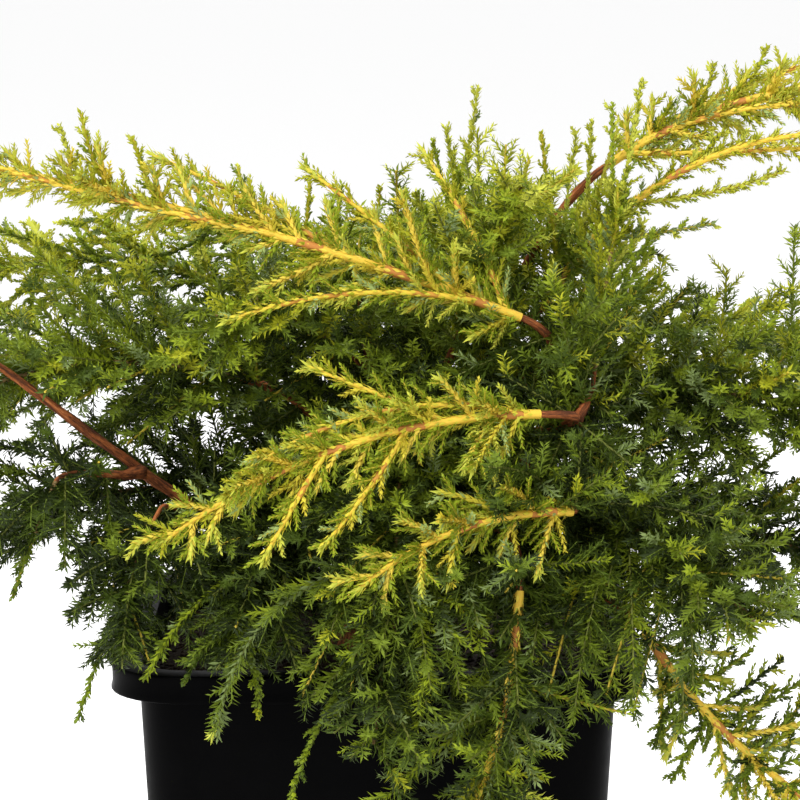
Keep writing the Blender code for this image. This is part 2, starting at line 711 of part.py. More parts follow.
def make_boughs(trunk, collection):
    """Every bough with the line that it follows, the ones that carry others first."""
    limbs = {limb.name: limb for limb in LIMBS}
    lines, boughs = {}, {}

    def carried(limb):
        if limb.name in lines:
            return
        foot = np.array(limb.foot) / 1000
        if limb.forks_from == "trunk":
            carrier, middle = surface_tree(trunk), trunk_axis(limb.along)
            away, steepness = bearing_and_climb(foot - middle)
            ahead = heading(away, BOUGH_CLIMB if steepness < STEEP_CLIMB else steepness)
        else:
            carried(limbs[limb.forks_from])
            carrier = surface_tree(boughs[limb.forks_from])
            middle, along = point_on(lines[limb.forks_from], limb.along)
            ahead = fork_heading(middle, along, foot)
        boughs[limb.name], lines[limb.name] = make_bough(limb, carrier, middle, ahead, collection)
        bpy.context.view_layer.update()

    for limb in LIMBS:
        carried(limb)
    return lines


def main():
    for obj in list(bpy.data.objects):
        bpy.data.objects.remove(obj)
    scene = bpy.context.scene.collection
    plant = bpy.data.collections.new("potted_juniper")
    helpers = bpy.data.collections.new("helpers")
    scene.children.link(plant)
    scene.children.link(helpers)

    make_pot(plant, helpers)
    make_soil(plant)
    trunk = make_trunk(plant)
    bpy.context.view_layer.update()
    bough_lines = make_boughs(trunk, plant)
    trunk_line = np.array([trunk_axis(t) for t in np.linspace(0, 1, 25)])
    space = Space({**bough_lines, "trunk": trunk_line})
    for owner, limb in enumerate(LIMBS):
        make_mass(limb, owner, space, plant, helpers)


main()
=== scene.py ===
# %% [markdown]
# # A potted juniper, dressed over its frame
#
# The frame holds the plant as plain solids: a pot, a block of soil, a short trunk, 28 boughs and the
# 28 masses of foliage on them. This lesson puts the looks over it, one step at a time. Each step says
# what the piece is on the real plant, how it could be made in Blender, and why one way was chosen.
#
# Everything is in metres, with +Z up. The origin is the middle of the pot's underside, and the plant
# faces -Y. A bearing is an angle seen from above, 0 along +X and 90 along +Y, and a climb is an angle
# above level.

# %% Load the frame
import math
import random
from collections import namedtuple

import bmesh
import bpy
import numpy as np
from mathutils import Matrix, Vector, noise
from mathutils.bvhtree import BVHTree


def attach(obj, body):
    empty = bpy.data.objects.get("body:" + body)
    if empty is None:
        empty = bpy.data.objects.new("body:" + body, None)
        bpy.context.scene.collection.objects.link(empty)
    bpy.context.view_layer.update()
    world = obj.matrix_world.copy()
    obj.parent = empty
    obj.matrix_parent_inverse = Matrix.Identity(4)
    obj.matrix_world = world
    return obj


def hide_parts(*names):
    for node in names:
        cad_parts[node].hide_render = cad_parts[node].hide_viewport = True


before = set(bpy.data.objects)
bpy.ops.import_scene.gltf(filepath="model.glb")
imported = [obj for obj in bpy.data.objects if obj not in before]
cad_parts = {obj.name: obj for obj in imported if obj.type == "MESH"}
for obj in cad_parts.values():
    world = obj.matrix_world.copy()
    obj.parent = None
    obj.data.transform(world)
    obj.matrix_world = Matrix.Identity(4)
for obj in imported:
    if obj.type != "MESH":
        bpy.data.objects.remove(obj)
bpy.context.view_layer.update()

# %% [markdown]
# ## The camera
#
# The photograph is taken from the front with a long lens, a little above the rim of the pot. The
# perspective of the pot gives the rest: 9 degrees of downward pitch from about 1.8 m. A lens that
# long keeps the two sides of the pot almost parallel, as they are in the photograph.

# %% Camera
CAMERA_TARGET = Vector((0.0099, 0.0, 0.324))
CAMERA_PITCH = math.radians(9.0)
CAMERA_DISTANCE = 1.775
CAMERA_LENS = 172.1

camera_data = bpy.data.cameras.new("camera")
camera_data.lens = CAMERA_LENS
camera_data.sensor_width = 36.0
camera = bpy.data.objects.new("camera", camera_data)
away = Vector((0.0, -math.cos(CAMERA_PITCH), math.sin(CAMERA_PITCH)))
camera.location = CAMERA_TARGET + away * CAMERA_DISTANCE
camera.rotation_euler = (math.pi / 2 - CAMERA_PITCH, 0.0, 0.0)
bpy.context.scene.collection.objects.link(camera)
bpy.context.scene.camera = camera
print("camera at", [round(v, 3) for v in camera.location])

# %% [markdown]
# ## Floor and light
#
# The plant was photographed against plain white. A white world lights it evenly from all round, and
# the pale floor throws light back up under the foliage. That alone looks flat, so one large soft lamp
# stands high in front on the left and gives the needles their bright tips and dark gaps. Colours are
# shown by the Standard view, because the filmic ones would turn the gold of the shoots to sand.

# %% Floor, world and lamps
FLOOR_REACH = 30.0
FLOOR_COLOUR = (0.96, 0.96, 0.96, 1.0)
WORLD_STRENGTH = 1.0
LAMPS = {
    "key": {"place": (-1.1, -1.9, 2.3), "size": 1.4, "power": 70.0},
    "back": {"place": (0.9, 1.6, 1.9), "size": 1.6, "power": 35.0},
}

bpy.context.scene.view_settings.view_transform = "Standard"
world = bpy.data.worlds.new("white studio")
world.use_nodes = True
background = world.node_tree.nodes["Background"]
background.inputs["Color"].default_value = (1.0, 1.0, 1.0, 1.0)
background.inputs["Strength"].default_value = WORLD_STRENGTH
bpy.context.scene.world = world

floor_mesh = bpy.data.meshes.new("floor")
corners = [(x * FLOOR_REACH, y * FLOOR_REACH, 0.0) for x, y in ((-1, -1), (1, -1), (1, 1), (-1, 1))]
floor_mesh.from_pydata(corners, [], [(0, 1, 2, 3)])
floor_finish = bpy.data.materials.new("floor")
floor_finish.use_nodes = True
floor_shader = floor_finish.node_tree.nodes["Principled BSDF"]
floor_shader.inputs["Base Color"].default_value = FLOOR_COLOUR
floor_shader.inputs["Roughness"].default_value = 0.9
floor_mesh.materials.append(floor_finish)
floor = bpy.data.objects.new("floor", floor_mesh)
bpy.context.scene.collection.objects.link(floor)

for lamp_name, lamp in LAMPS.items():
    lamp_data = bpy.data.lights.new(lamp_name, "AREA")
    lamp_data.shape = "DISK"
    lamp_data.size = lamp["size"]
    lamp_data.energy = lamp["power"]
    lamp_object = bpy.data.objects.new(lamp_name, lamp_data)
    lamp_object.location = lamp["place"]
    aim = CAMERA_TARGET - lamp_object.location
    lamp_object.rotation_euler = aim.to_track_quat("-Z", "Y").to_euler()
    bpy.context.scene.collection.objects.link(lamp_object)
print("lamps:", ", ".join(LAMPS))

# %% [markdown]
# ## Helpers for nodes
#
# Two kinds of node tree come up again and again below: shader trees, and Geometry Nodes trees that
# make what repeats. Both are built here by the same short helpers. `put` adds a node, fills its
# sockets, and links any that are given another node's output. `maths` is a Math node in one line.

# %% Node helpers
def put(tree, kind, sockets=None, **settings):
    """A new node with these settings, its inputs filled with values or linked to sockets."""
    made = tree.nodes.new(kind)
    for name, value in settings.items():
        setattr(made, name, value)
    for key, value in (sockets or {}).items():
        if isinstance(value, bpy.types.NodeSocket):
            tree.links.new(value, made.inputs[key])
        else:
            made.inputs[key].default_value = value
    return made


def maths(tree, operation, *values):
    """The output of a Math node on these values or sockets."""
    return put(tree, "ShaderNodeMath", dict(enumerate(values)), operation=operation).outputs[0]


def new_tree(name, kind, inputs, outputs):
    """A node tree with named inputs and outputs, given as (name, socket type, value)."""
    tree = bpy.data.node_groups.new(name, kind)
    for socket_name, socket_type, value in inputs:
        socket = tree.interface.new_socket(socket_name, in_out="INPUT", socket_type=socket_type)
        if value is not None:
            socket.default_value = value
    for socket_name, socket_type in outputs:
        tree.interface.new_socket(socket_name, in_out="OUTPUT", socket_type=socket_type)
    return tree, tree.nodes.new("NodeGroupInput").outputs, tree.nodes.new("NodeGroupOutput").inputs


def applied(obj, tree, values):
    """The mesh that a Geometry Nodes tree makes of an object, with its inputs set by identifier."""
    modifier = obj.modifiers.new(tree.name, "NODES")
    modifier.node_group = tree
    for item in tree.interface.items_tree:
        if item.in_out == "INPUT" and item.name in values:
            modifier[item.identifier] = values[item.name]
    obj.update_tag()
    bpy.context.view_layer.update()
    seen = obj.evaluated_get(bpy.context.evaluated_depsgraph_get())
    mesh = bpy.data.meshes.new_from_object(seen)
    obj.modifiers.remove(modifier)
    return mesh


def triangles(mesh):
    return sum(len(polygon.vertices) - 2 for polygon in mesh.polygons) if len(mesh.polygons) < 5000 else (
        len(mesh.loops) - 2 * len(mesh.polygons)
    )


def finished(name, mesh, *nodes, slot):
    """A piece of the plant: it rides on the root body and stands for these nodes; the slot is not used."""
    mesh.name = name
    piece = bpy.data.objects.new(name, mesh)
    bpy.context.scene.collection.objects.link(piece)
    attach(piece, "root")
    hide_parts(*nodes)
    print(f"{name}: {triangles(mesh)} triangles")
    return piece


# %% [markdown]
# ## Mottling, shared by several finishes
#
# Bark, soil and the pot's plastic all vary a little in tone from place to place. One shader group
# makes that mottling from two sizes of noise, so that it is built once and placed in each material
# with its own scale and strength. It puts out a mask and a height, never a shader, because the export
# reads shaders only in the material itself.

# %% Mottling group
def make_mottling():
    tree, given, result = new_tree(
        "mottling",
        "ShaderNodeTree",
        (
            ("Place", "NodeSocketVector", None),
            ("Scale", "NodeSocketFloat", 40.0),
            ("Contrast", "NodeSocketFloat", 2.0),
        ),
        (("Mask", "NodeSocketFloat"), ("Height", "NodeSocketFloat")),
    )
    broad = put(
        tree,
        "ShaderNodeTexNoise",
        {"Vector": given["Place"], "Scale": given["Scale"], "Detail": 4.0, "Roughness": 0.6},
    ).outputs["Fac"]
    fine_scale = maths(tree, "MULTIPLY", given["Scale"], 5.3)
    fine = put(
        tree,
        "ShaderNodeTexNoise",
        {"Vector": given["Place"], "Scale": fine_scale, "Detail": 3.0, "Roughness": 0.7},
    ).outputs["Fac"]
    mixed = maths(tree, "ADD", maths(tree, "MULTIPLY", broad, 0.65), maths(tree, "MULTIPLY", fine, 0.35))
    centred = maths(tree, "MULTIPLY", maths(tree, "SUBTRACT", mixed, 0.5), given["Contrast"])
    clamped = put(tree, "ShaderNodeClamp", {"Value": maths(tree, "ADD", centred, 0.5)}).outputs[0]
    tree.links.new(clamped, result["Mask"])
    tree.links.new(mixed, result["Height"])
    return tree


mottling = make_mottling()


def material_with(name, roughness, specular):
    """A new material, with its tree and its Principled shader."""
    made = bpy.data.materials.new(name)
    made.use_nodes = True
    shader = made.node_tree.nodes["Principled BSDF"]
    shader.inputs["Roughness"].default_value = roughness
    shader.inputs["Specular IOR Level"].default_value = specular
    return made, made.node_tree, shader


def ramp(tree, mask, stops):
    """A colour ramp over a mask: stops are (place, colour)."""
    made = put(tree, "ShaderNodeValToRGB", {"Fac": mask})
    while len(made.color_ramp.elements) < len(stops):
        made.color_ramp.elements.new(0.5)
    for element, (place, colour) in zip(made.color_ramp.elements, stops):
        element.position = place
        element.color = (*colour, 1.0)
    return made.outputs["Color"]


print("shared shader group:", mottling.name)

# %% [markdown]
# ## The pot
#
# A nursery pot is blown from thin black plastic: a square tub that narrows to its foot, with round
# corners, a flat rim and a collar turned down round it. The solid in the frame has knife edges there.
# Real ones are drawn round, and those round edges carry the only bright lines on a black pot, so the
# skin is lofted again with a small radius at every turn. A Bevel modifier could round them too, but
# on a lofted wall it is easier to write the turns into the outline itself.

# %% Pot outline
POT_HEIGHT = 0.220
RIM_WIDTH = 0.238
BODY_WIDTH_TOP = 0.214
BODY_WIDTH_BASE = 0.190
POT_WALL = 0.002
COLLAR_DEPTH = 0.0125
RIM_CORNER = 0.034
BASE_CORNER = 0.026
CORNER_STEPS = 9
SIDE_STEPS = 8
FOOT_ROUNDING = 0.004
EDGE_ROUNDING = 0.0011
WALL_WAVES = 0.0004


def pot_half_width(z):
    """Half the width of the pot's outer wall at a height."""
    t = z / POT_HEIGHT
    return (BODY_WIDTH_BASE * (1 - t) + BODY_WIDTH_TOP * t) / 2


def pot_corner(z):
    t = z / POT_HEIGHT
    return BASE_CORNER * (1 - t) + (RIM_CORNER - (RIM_WIDTH - BODY_WIDTH_TOP) / 2) * t


def rounded_square(z, half_width, corner):
    """Points round a square with round corners, with some along its straight sides too."""
    inner = half_width - corner
    around = []
    for quarter in range(4):
        cx = inner if quarter in (0, 3) else -inner
        cy = inner if quarter in (0, 1) else -inner
        for step in range(CORNER_STEPS + 1):
            angle = math.radians(90 * (quarter + step / CORNER_STEPS))
            around.append((cx + corner * math.cos(angle), cy + corner * math.sin(angle)))
        turn = math.radians(90 * (quarter + 1))
        start = np.array(around[-1])
        along = np.array((-math.sin(turn), math.cos(turn))) * 2 * inner
        around.extend(tuple(start + along * step / SIDE_STEPS) for step in range(1, SIDE_STEPS))
    return np.array([(x, y, z) for x, y in around])


def turned(centre, radius, first, last, steps=3):
    """Points of a small arc in the outline: (how far out, height), from one angle to another."""
    angles = [math.radians(first + (last - first) * step / steps) for step in range(steps + 1)]
    return [(centre[0] + radius * math.cos(a), centre[1] + radius * math.sin(a)) for a in angles]


def pot_outline():
    """The outline of the pot's skin as (half width, height), from the underside up, over and in."""
    r = EDGE_ROUNDING
    flange = POT_HEIGHT - POT_WALL
    collar = POT_HEIGHT - COLLAR_DEPTH
    rim = RIM_WIDTH / 2
    inside = pot_half_width(POT_HEIGHT) - POT_WALL
    foot = (pot_half_width(0.0) - FOOT_ROUNDING, FOOT_ROUNDING)
    outline = turned(foot, FOOT_ROUNDING, -90, -4, 5)
    outline += [(pot_half_width(z), z) for z in np.linspace(0.02, flange - 0.004, 9)]
    outline += turned((pot_half_width(flange) + 0.002, flange - 0.002), 0.002, 180, 90)
    outline += turned((rim - POT_WALL - 0.001, flange - 0.001), 0.001, 90, 0)
    outline += turned((rim - POT_WALL + 0.0009, collar + 0.0009), 0.0009, 180, 270)
    outline += turned((rim + 0.0002 - r, collar + r), r, -90, 10)
    outline += [(rim - 0.0004, collar + 0.0034), (rim - 0.0004, POT_HEIGHT - 0.0032)]
    outline += turned((rim - r, POT_HEIGHT - r), r, 0, 90)
    outline += turned((inside + r, POT_HEIGHT - r), r, 90, 180)
    outline += [(pot_half_width(z) - POT_WALL, z) for z in np.linspace(0.19, POT_WALL + 0.004, 6)]
    outline += turned((pot_half_width(POT_WALL) - POT_WALL - 0.003, POT_WALL + 0.003), 0.003, 0, -90)
    return outline


print("pot outline:", len(pot_outline()), "points")

# %% [markdown]
# The outline is swept round the square, ring by ring. The walls of such a thin pot are never quite
# flat, so the long faces get a wave of less than half a millimetre. Four drain holes are then cut
# through the floor with a Boolean, which keeps the sweep simple.

# %% Pot body
DRAIN_HOLES = 4
DRAIN_RADIUS = 0.007
DRAIN_SPREAD = 0.058


def ring_skin(rings):
    """Quads between rings of points, with a point in the middle of the first and the last ring."""
    count = len(rings[0])
    points = np.concatenate([*rings, rings[0].mean(0)[None], rings[-1].mean(0)[None]])
    first_middle, last_middle = len(points) - 2, len(points) - 1
    faces = []
    for ring in range(len(rings) - 1):
        for corner in range(count):
            after = (corner + 1) % count
            a, b = ring * count, (ring + 1) * count
            faces.append((a + corner, a + after, b + after, b + corner))
    last = (len(rings) - 1) * count
    for corner in range(count):
        after = (corner + 1) % count
        faces.append((after, corner, first_middle))
        faces.append((last + corner, last + after, last_middle))
    return points, faces


def outward(mesh):
    """Turns the faces of a closed mesh outwards."""
    bm = bmesh.new()
    bm.from_mesh(mesh)
    bmesh.ops.recalc_face_normals(bm, faces=bm.faces)
    bm.to_mesh(mesh)
    bm.free()
    return mesh


def corner_at(half, z):
    """The corner's radius where the outline stands this far out at this height."""
    return pot_corner(z) + (half - pot_half_width(z)) * (RIM_CORNER - pot_corner(POT_HEIGHT)) / (
        (RIM_WIDTH - BODY_WIDTH_TOP) / 2
    )


def make_pot():
    rings = [rounded_square(z, half, max(0.012, corner_at(half, z))) for half, z in pot_outline()]
    points, faces = ring_skin(rings)
    for point in points:
        if POT_WALL < point[2] < POT_HEIGHT - COLLAR_DEPTH:
            wave = noise.noise(Vector(point) * 16.0) * WALL_WAVES
            flat = np.array((point[0], point[1], 0.0))
            point += flat / max(1e-6, np.linalg.norm(flat)) * wave
    mesh = bpy.data.meshes.new("pot_skin")
    mesh.from_pydata(points.tolist(), [], faces)
    outward(mesh)
    pot = bpy.data.objects.new("pot_skin", mesh)
    bpy.context.scene.collection.objects.link(pot)
    cutters = []
    for hole in range(DRAIN_HOLES):
        angle = math.radians(45 + 360 * hole / DRAIN_HOLES)
        place = (DRAIN_SPREAD * math.cos(angle), DRAIN_SPREAD * math.sin(angle), 0.0)
        bpy.ops.mesh.primitive_cylinder_add(
            vertices=24, radius=DRAIN_RADIUS, depth=POT_WALL * 4, location=place
        )
        cutters.append(bpy.context.object)
        cut = pot.modifiers.new(f"drain_{hole + 1}", "BOOLEAN")
        cut.operation = "DIFFERENCE"
        cut.object = cutters[-1]
    bpy.context.view_layer.update()
    seen = pot.evaluated_get(bpy.context.evaluated_depsgraph_get())
    mesh = bpy.data.meshes.new_from_object(seen)
    for helper in [pot, *cutters]:
        bpy.data.objects.remove(helper)
    mesh.shade_smooth()
    mesh.set_sharp_from_angle(angle=math.radians(50))
    return mesh


pot_mesh = make_pot()

# %% [markdown]
# Black polypropylene is not quite black, and not quite smooth: it has a satin skin with faint flow
# marks from the mould, and handling leaves dust and dull scuffs on it. The colour is therefore two
# near-blacks mixed by the mottling, and the same mask makes the dusty places rougher.

# %% Pot finish
def make_pot_finish():
    made, tree, shader = material_with("black pot plastic", 0.42, 0.02)
    place = put(tree, "ShaderNodeTexCoord").outputs["Object"]
    dust = put(tree, "ShaderNodeGroup", {}, node_tree=mottling)
    tree.links.new(place, dust.inputs["Place"])
    dust.inputs["Scale"].default_value = 22.0
    dust.inputs["Contrast"].default_value = 3.0
    colour = ramp(tree, dust.outputs["Mask"], ((0.0, (0.0005, 0.0005, 0.0006)), (1.0, (0.0014, 0.0014, 0.0015))))
    tree.links.new(colour, shader.inputs["Base Color"])
    rough = maths(tree, "ADD", maths(tree, "MULTIPLY", dust.outputs["Mask"], 0.18), 0.34)
    tree.links.new(rough, shader.inputs["Roughness"])
    grain = put(tree, "ShaderNodeTexNoise", {"Vector": place, "Scale": 900.0, "Detail": 2.0})
    bump = put(tree, "ShaderNodeBump", {"Height": grain.outputs["Fac"], "Strength": 0.12, "Distance": 0.0004})
    tree.links.new(bump.outputs["Normal"], shader.inputs["Normal"])
    return made


pot_mesh.materials.clear()
pot_mesh.materials.append(make_pot_finish())
finished("pot_body", pot_mesh, "pot", slot="pot_plastic")

# %% [markdown]
# ## The potting soil
#
# Potting soil is dark bark humus, settled into lumps, and a little lower at the wall than round the
# stem. The surface is a fan of rounded squares from the wall to the middle, raised and lowered by
# noise. Loose crumbs lie on it. They are small, alike and many, which is work for Geometry Nodes:
# points scattered over the upper faces, one low lump on each, turned and sized at random by a seed.

# %% Soil bed
SOIL_LEVEL = 0.206
SOIL_EDGE_DROP = 0.004
SEAT_GAP = 0.0003
SOIL_RINGS = 26
SOIL_RELIEF = 0.0022


def make_soil_bed():
    clear = POT_WALL + SEAT_GAP
    floor_level = POT_WALL + SEAT_GAP
    edge = SOIL_LEVEL - SOIL_EDGE_DROP
    half, corner = pot_half_width(edge) - clear, pot_corner(edge) - POT_WALL
    rings = [rounded_square(floor_level, pot_half_width(floor_level) - clear, BASE_CORNER - POT_WALL)]
    for step in range(SOIL_RINGS):
        share = 1 - step / SOIL_RINGS
        level = SOIL_LEVEL - SOIL_EDGE_DROP * share**4
        ring = rounded_square(level, half * share, corner * share)
        for point in ring:
            lumps = noise.noise(Vector(point) * 70.0) + 0.5 * noise.noise(Vector(point) * 210.0)
            point[2] += SOIL_RELIEF * lumps * (1.0 if step else 0.3)
        rings.append(ring)
    points, faces = ring_skin(rings)
    points[-1, 2] = rings[-1][:, 2].mean()
    mesh = bpy.data.meshes.new("soil_bed")
    mesh.from_pydata(points.tolist(), [], faces)
    return outward(mesh)


def make_soil_finish():
    made, tree, shader = material_with("potting humus", 0.95, 0.15)
    place = put(tree, "ShaderNodeTexCoord").outputs["Object"]
    lumps = put(tree, "ShaderNodeGroup", {}, node_tree=mottling)
    tree.links.new(place, lumps.inputs["Place"])
    lumps.inputs["Scale"].default_value = 160.0
    lumps.inputs["Contrast"].default_value = 2.6
    colour = ramp(
        tree,
        lumps.outputs["Mask"],
        ((0.0, (0.008, 0.005, 0.003)), (0.6, (0.030, 0.018, 0.010)), (1.0, (0.085, 0.050, 0.028))),
    )
    tree.links.new(colour, shader.inputs["Base Color"])
    bump = put(
        tree, "ShaderNodeBump", {"Height": lumps.outputs["Height"], "Strength": 0.8, "Distance": 0.002}
    )
    tree.links.new(bump.outputs["Normal"], shader.inputs["Normal"])
    return made


soil_finish = make_soil_finish()
soil_mesh = make_soil_bed()
soil_mesh.materials.append(soil_finish)

# %% Soil crumbs by Geometry Nodes
CRUMBS_PER_SQUARE_METRE = 60000.0
CRUMB_SIZE = 0.0022


def make_crumb_tree():
    tree, given, result = new_tree(
        "crumbs_on_soil",
        "GeometryNodeTree",
        (
            ("Soil", "NodeSocketGeometry", None),
            ("Density", "NodeSocketFloat", CRUMBS_PER_SQUARE_METRE),
            ("Size", "NodeSocketFloat", CRUMB_SIZE),
            ("Seed", "NodeSocketInt", 5),
            ("Finish", "NodeSocketMaterial", None),
        ),
        (("Crumbs", "NodeSocketGeometry"),),
    )
    upward = put(tree, "ShaderNodeSeparateXYZ", {0: put(tree, "GeometryNodeInputNormal").outputs[0]})
    is_top = maths(tree, "GREATER_THAN", upward.outputs["Z"], 0.4)
    points = put(
        tree,
        "GeometryNodeDistributePointsOnFaces",
        {"Mesh": given["Soil"], "Selection": is_top, "Density": given["Density"], "Seed": given["Seed"]},
    )
    lump = put(tree, "GeometryNodeMeshIcoSphere", {"Radius": given["Size"], "Subdivisions": 1})
    size = put(
        tree,
        "FunctionNodeRandomValue",
        {0: (0.25, 0.25, 0.2), 1: (1.1, 0.8, 0.5), "Seed": given["Seed"]},
        data_type="FLOAT_VECTOR",
    )
    turn = put(
        tree,
        "FunctionNodeRandomValue",
        {0: (-0.5, -0.5, 0.0), 1: (0.5, 0.5, math.tau), "Seed": given["Seed"]},
        data_type="FLOAT_VECTOR",
    )
    crumbs = put(
        tree,
        "GeometryNodeInstanceOnPoints",
        {
            "Points": points.outputs["Points"],
            "Instance": lump.outputs["Mesh"],
            "Rotation": turn.outputs[0],
            "Scale": size.outputs[0],
        },
    )
    real = put(tree, "GeometryNodeRealizeInstances", {0: crumbs.outputs[0]})
    done = put(tree, "GeometryNodeSetMaterial", {0: real.outputs[0], "Material": given["Finish"]})
    tree.links.new(done.outputs[0], result["Crumbs"])
    return tree


soil_host = bpy.data.objects.new("soil_host", soil_mesh)
bpy.context.scene.collection.objects.link(soil_host)
crumb_mesh = applied(soil_host, make_crumb_tree(), {"Finish": soil_finish})
bpy.data.objects.remove(soil_host)
finished("soil_bed", soil_mesh, "soil", slot="potting_soil")
finished("soil_crumbs", crumb_mesh, "soil", slot="potting_soil")

# %% [markdown]
# ## The limbs
#
# The same table of limbs that built the solids grows the dressed plant, so that each twig belongs to
# the mass that it replaces. A limb has the place where it forks, the foot of its foliage in
# millimetres, the bearing, climb and length of its leading shoot, how its climb and bearing change
# towards the tip, its longest side shoot, how much side shoots lift, how dense its heart is, and its
# tone. Some side shoots stand out so much that they are placed one by one.

# %% Table of limbs
Limb = namedtuple(
    "Limb", "name forks_from along foot bearing climb length lift sweep side rise core tone"
)
Shoot = namedtuple("Shoot", "along bearing climb length lift")

LIMBS = (
    Limb("right_leader", "trunk", 0.80, (105, -30, 437), 346, 35, 205, -56, 0, 50, 10, 0, "gold"),
    Limb("left_leader", "trunk", 0.66, (63, -100, 376), 187, 22, 330, -15, 2, 42, 10, 0, "gold"),
    Limb("left_bough", "trunk", 0.08, (-166, -90, 353), 194, 38, 130, -60, 3, 76, -10, 15, "green"),
    Limb("golden_fan", "trunk", 0.56, (70, -140, 340), 198, 3, 178, -35, 6, 40, -10, 0, "gold"),
    Limb("front_low", "golden_fan", 0.45, (84, -142, 298), 204, 6, 108, -37, 10, 45, -25, 0, "gold"),
    Limb("front_skirt", "trunk", 0.08, (61, -148, 265), 258, -75, 130, 24, -49, 48, -5, 0, "green"),
    Limb("front_apron", "front_skirt", 0.50, (14, -118, 264), 256, -20, 116, -62, 0, 69, -15, 14, "dark"),
    Limb("right_skirt", "right_front", 0.60, (118, -96, 236), 327, -52, 150, 31, 20, 58, 10, 0, "gold"),
    Limb("left_skirt", "left_bough", 0.62, (-140, -112, 306), 228, -58, 90, -14, 0, 65, -25, 8, "dark"),
    Limb("left_rim_spray", "left_bough", 0.34, (-96, -92, 290), 240, -38, 100, -50, 10, 65, -25, 8, "dark"),
    Limb("upper_left", "trunk", 0.90, (-30, -26, 404), 189, 11, 262, 15, 3, 65, 45, 10, "lime"),
    Limb("centre_spire", "trunk", 1.00, (36, 8, 360), 85, 86, 114, -8, 0, 78, 30, 30, "lime"),
    Limb("centre_front", "trunk", 0.94, (34, -52, 356), 300, 60, 100, -14, 0, 65, 20, 20, "green"),
    Limb("right_upper", "right_leader", 0.40, (74, -44, 372), 348, 62, 160, -58, -16, 67, 30, 12, "lime"),
    Limb("stub_spray", "golden_fan", 0.74, (94, -104, 346), 65, 72, 112, -6, 0, 65, 25, 8, "lime"),
    Limb("right_middle", "trunk", 0.70, (58, -18, 322), 343, 16, 215, -38, 0, 82, 5, 28, "green"),
    Limb("right_front", "trunk", 0.34, (50, -52, 292), 314, 6, 165, -38, 0, 82, -5, 31, "green"),
    Limb("right_low", "trunk", 0.22, (58, -10, 278), 354, 5, 215, -40, -6, 82, -15, 34, "dark"),
    Limb("front_middle", "trunk", 0.42, (12, -50, 312), 268, 14, 150, -80, 0, 71, -20, 28, "green"),
    Limb("front_left", "trunk", 0.26, (-20, -50, 284), 246, 10, 134, -78, 0, 76, -25, 28, "dark"),
    Limb("centre_left", "trunk", 0.76, (-6, -34, 344), 226, 40, 100, -40, 0, 65, 0, 25, "dark"),
    Limb("left_front", "trunk", 0.52, (-42, -40, 332), 200, 26, 195, -58, 0, 80, 0, 24, "green"),
    Limb("left_side", "trunk", 0.62, (-50, 16, 328), 174, 18, 222, -48, 0, 82, 0, 26, "green"),
    Limb("left_low", "trunk", 0.32, (-48, -8, 284), 192, 9, 200, -46, 0, 82, -20, 32, "dark"),
    Limb("back_left", "trunk", 0.84, (-36, 44, 352), 150, 28, 230, -58, 0, 82, 10, 36, "lime"),
    Limb("back_middle", "trunk", 0.72, (8, 54, 350), 88, 34, 215, -66, 0, 86, 10, 40, "green"),
    Limb("back_right", "trunk", 0.46, (50, 38, 336), 34, 15, 235, -44, 0, 82, 5, 40, "lime"),
    Limb("back_low", "trunk", 0.28, (0, 56, 286), 100, 6, 175, -62, 0, 86, -20, 42, "dark"),
)

PLACED_SHOOTS = {
    "right_leader": (
        Shoot(0.05, 15, 34, 150, -33),
        Shoot(0.14, 335, 22, 115, -32),
        Shoot(0.04, 328, 2, 110, 6),
    ),
    "left_leader": (
        Shoot(0.02, 136, 62, 84, -18),
        Shoot(0.06, 202, 14, 117, -30),
        Shoot(0.09, 171, 43, 86, -9),
        Shoot(0.25, 164, 30, 96, -9),
        Shoot(0.36, 193, 12, 140, 7),
    ),
    "golden_fan": (
        Shoot(0.03, 196, 16, 132, -50),
        Shoot(0.24, 179, 22, 62, 0),
        Shoot(0.34, 226, -48, 66, 14),
        Shoot(0.55, 232, -42, 56, -3),
    ),
    "front_middle": (
        Shoot(0.78, 188, 0, 118, -88),
        Shoot(0.42, 300, -14, 88, -50),
        Shoot(0.62, 285, -40, 84, -20),
        Shoot(0.55, 236, -30, 78, -30),
    ),
    "right_front": (
        Shoot(0.30, 276, -14, 92, -50),
        Shoot(0.52, 270, -36, 86, -25),
        Shoot(0.72, 268, -52, 76, -10),
    ),
    "right_middle": (Shoot(0.34, 300, 20, 84, -50),),
    "front_skirt": (
        Shoot(0.30, 2, -20, 52, 8),
        Shoot(0.36, 190, -32, 78, -14),
        Shoot(0.58, 340, -66, 52, 25),
    ),
    "right_skirt": (
        Shoot(0.20, 195, -8, 40, -10),
        Shoot(0.62, 240, -70, 40, 10),
    ),
}

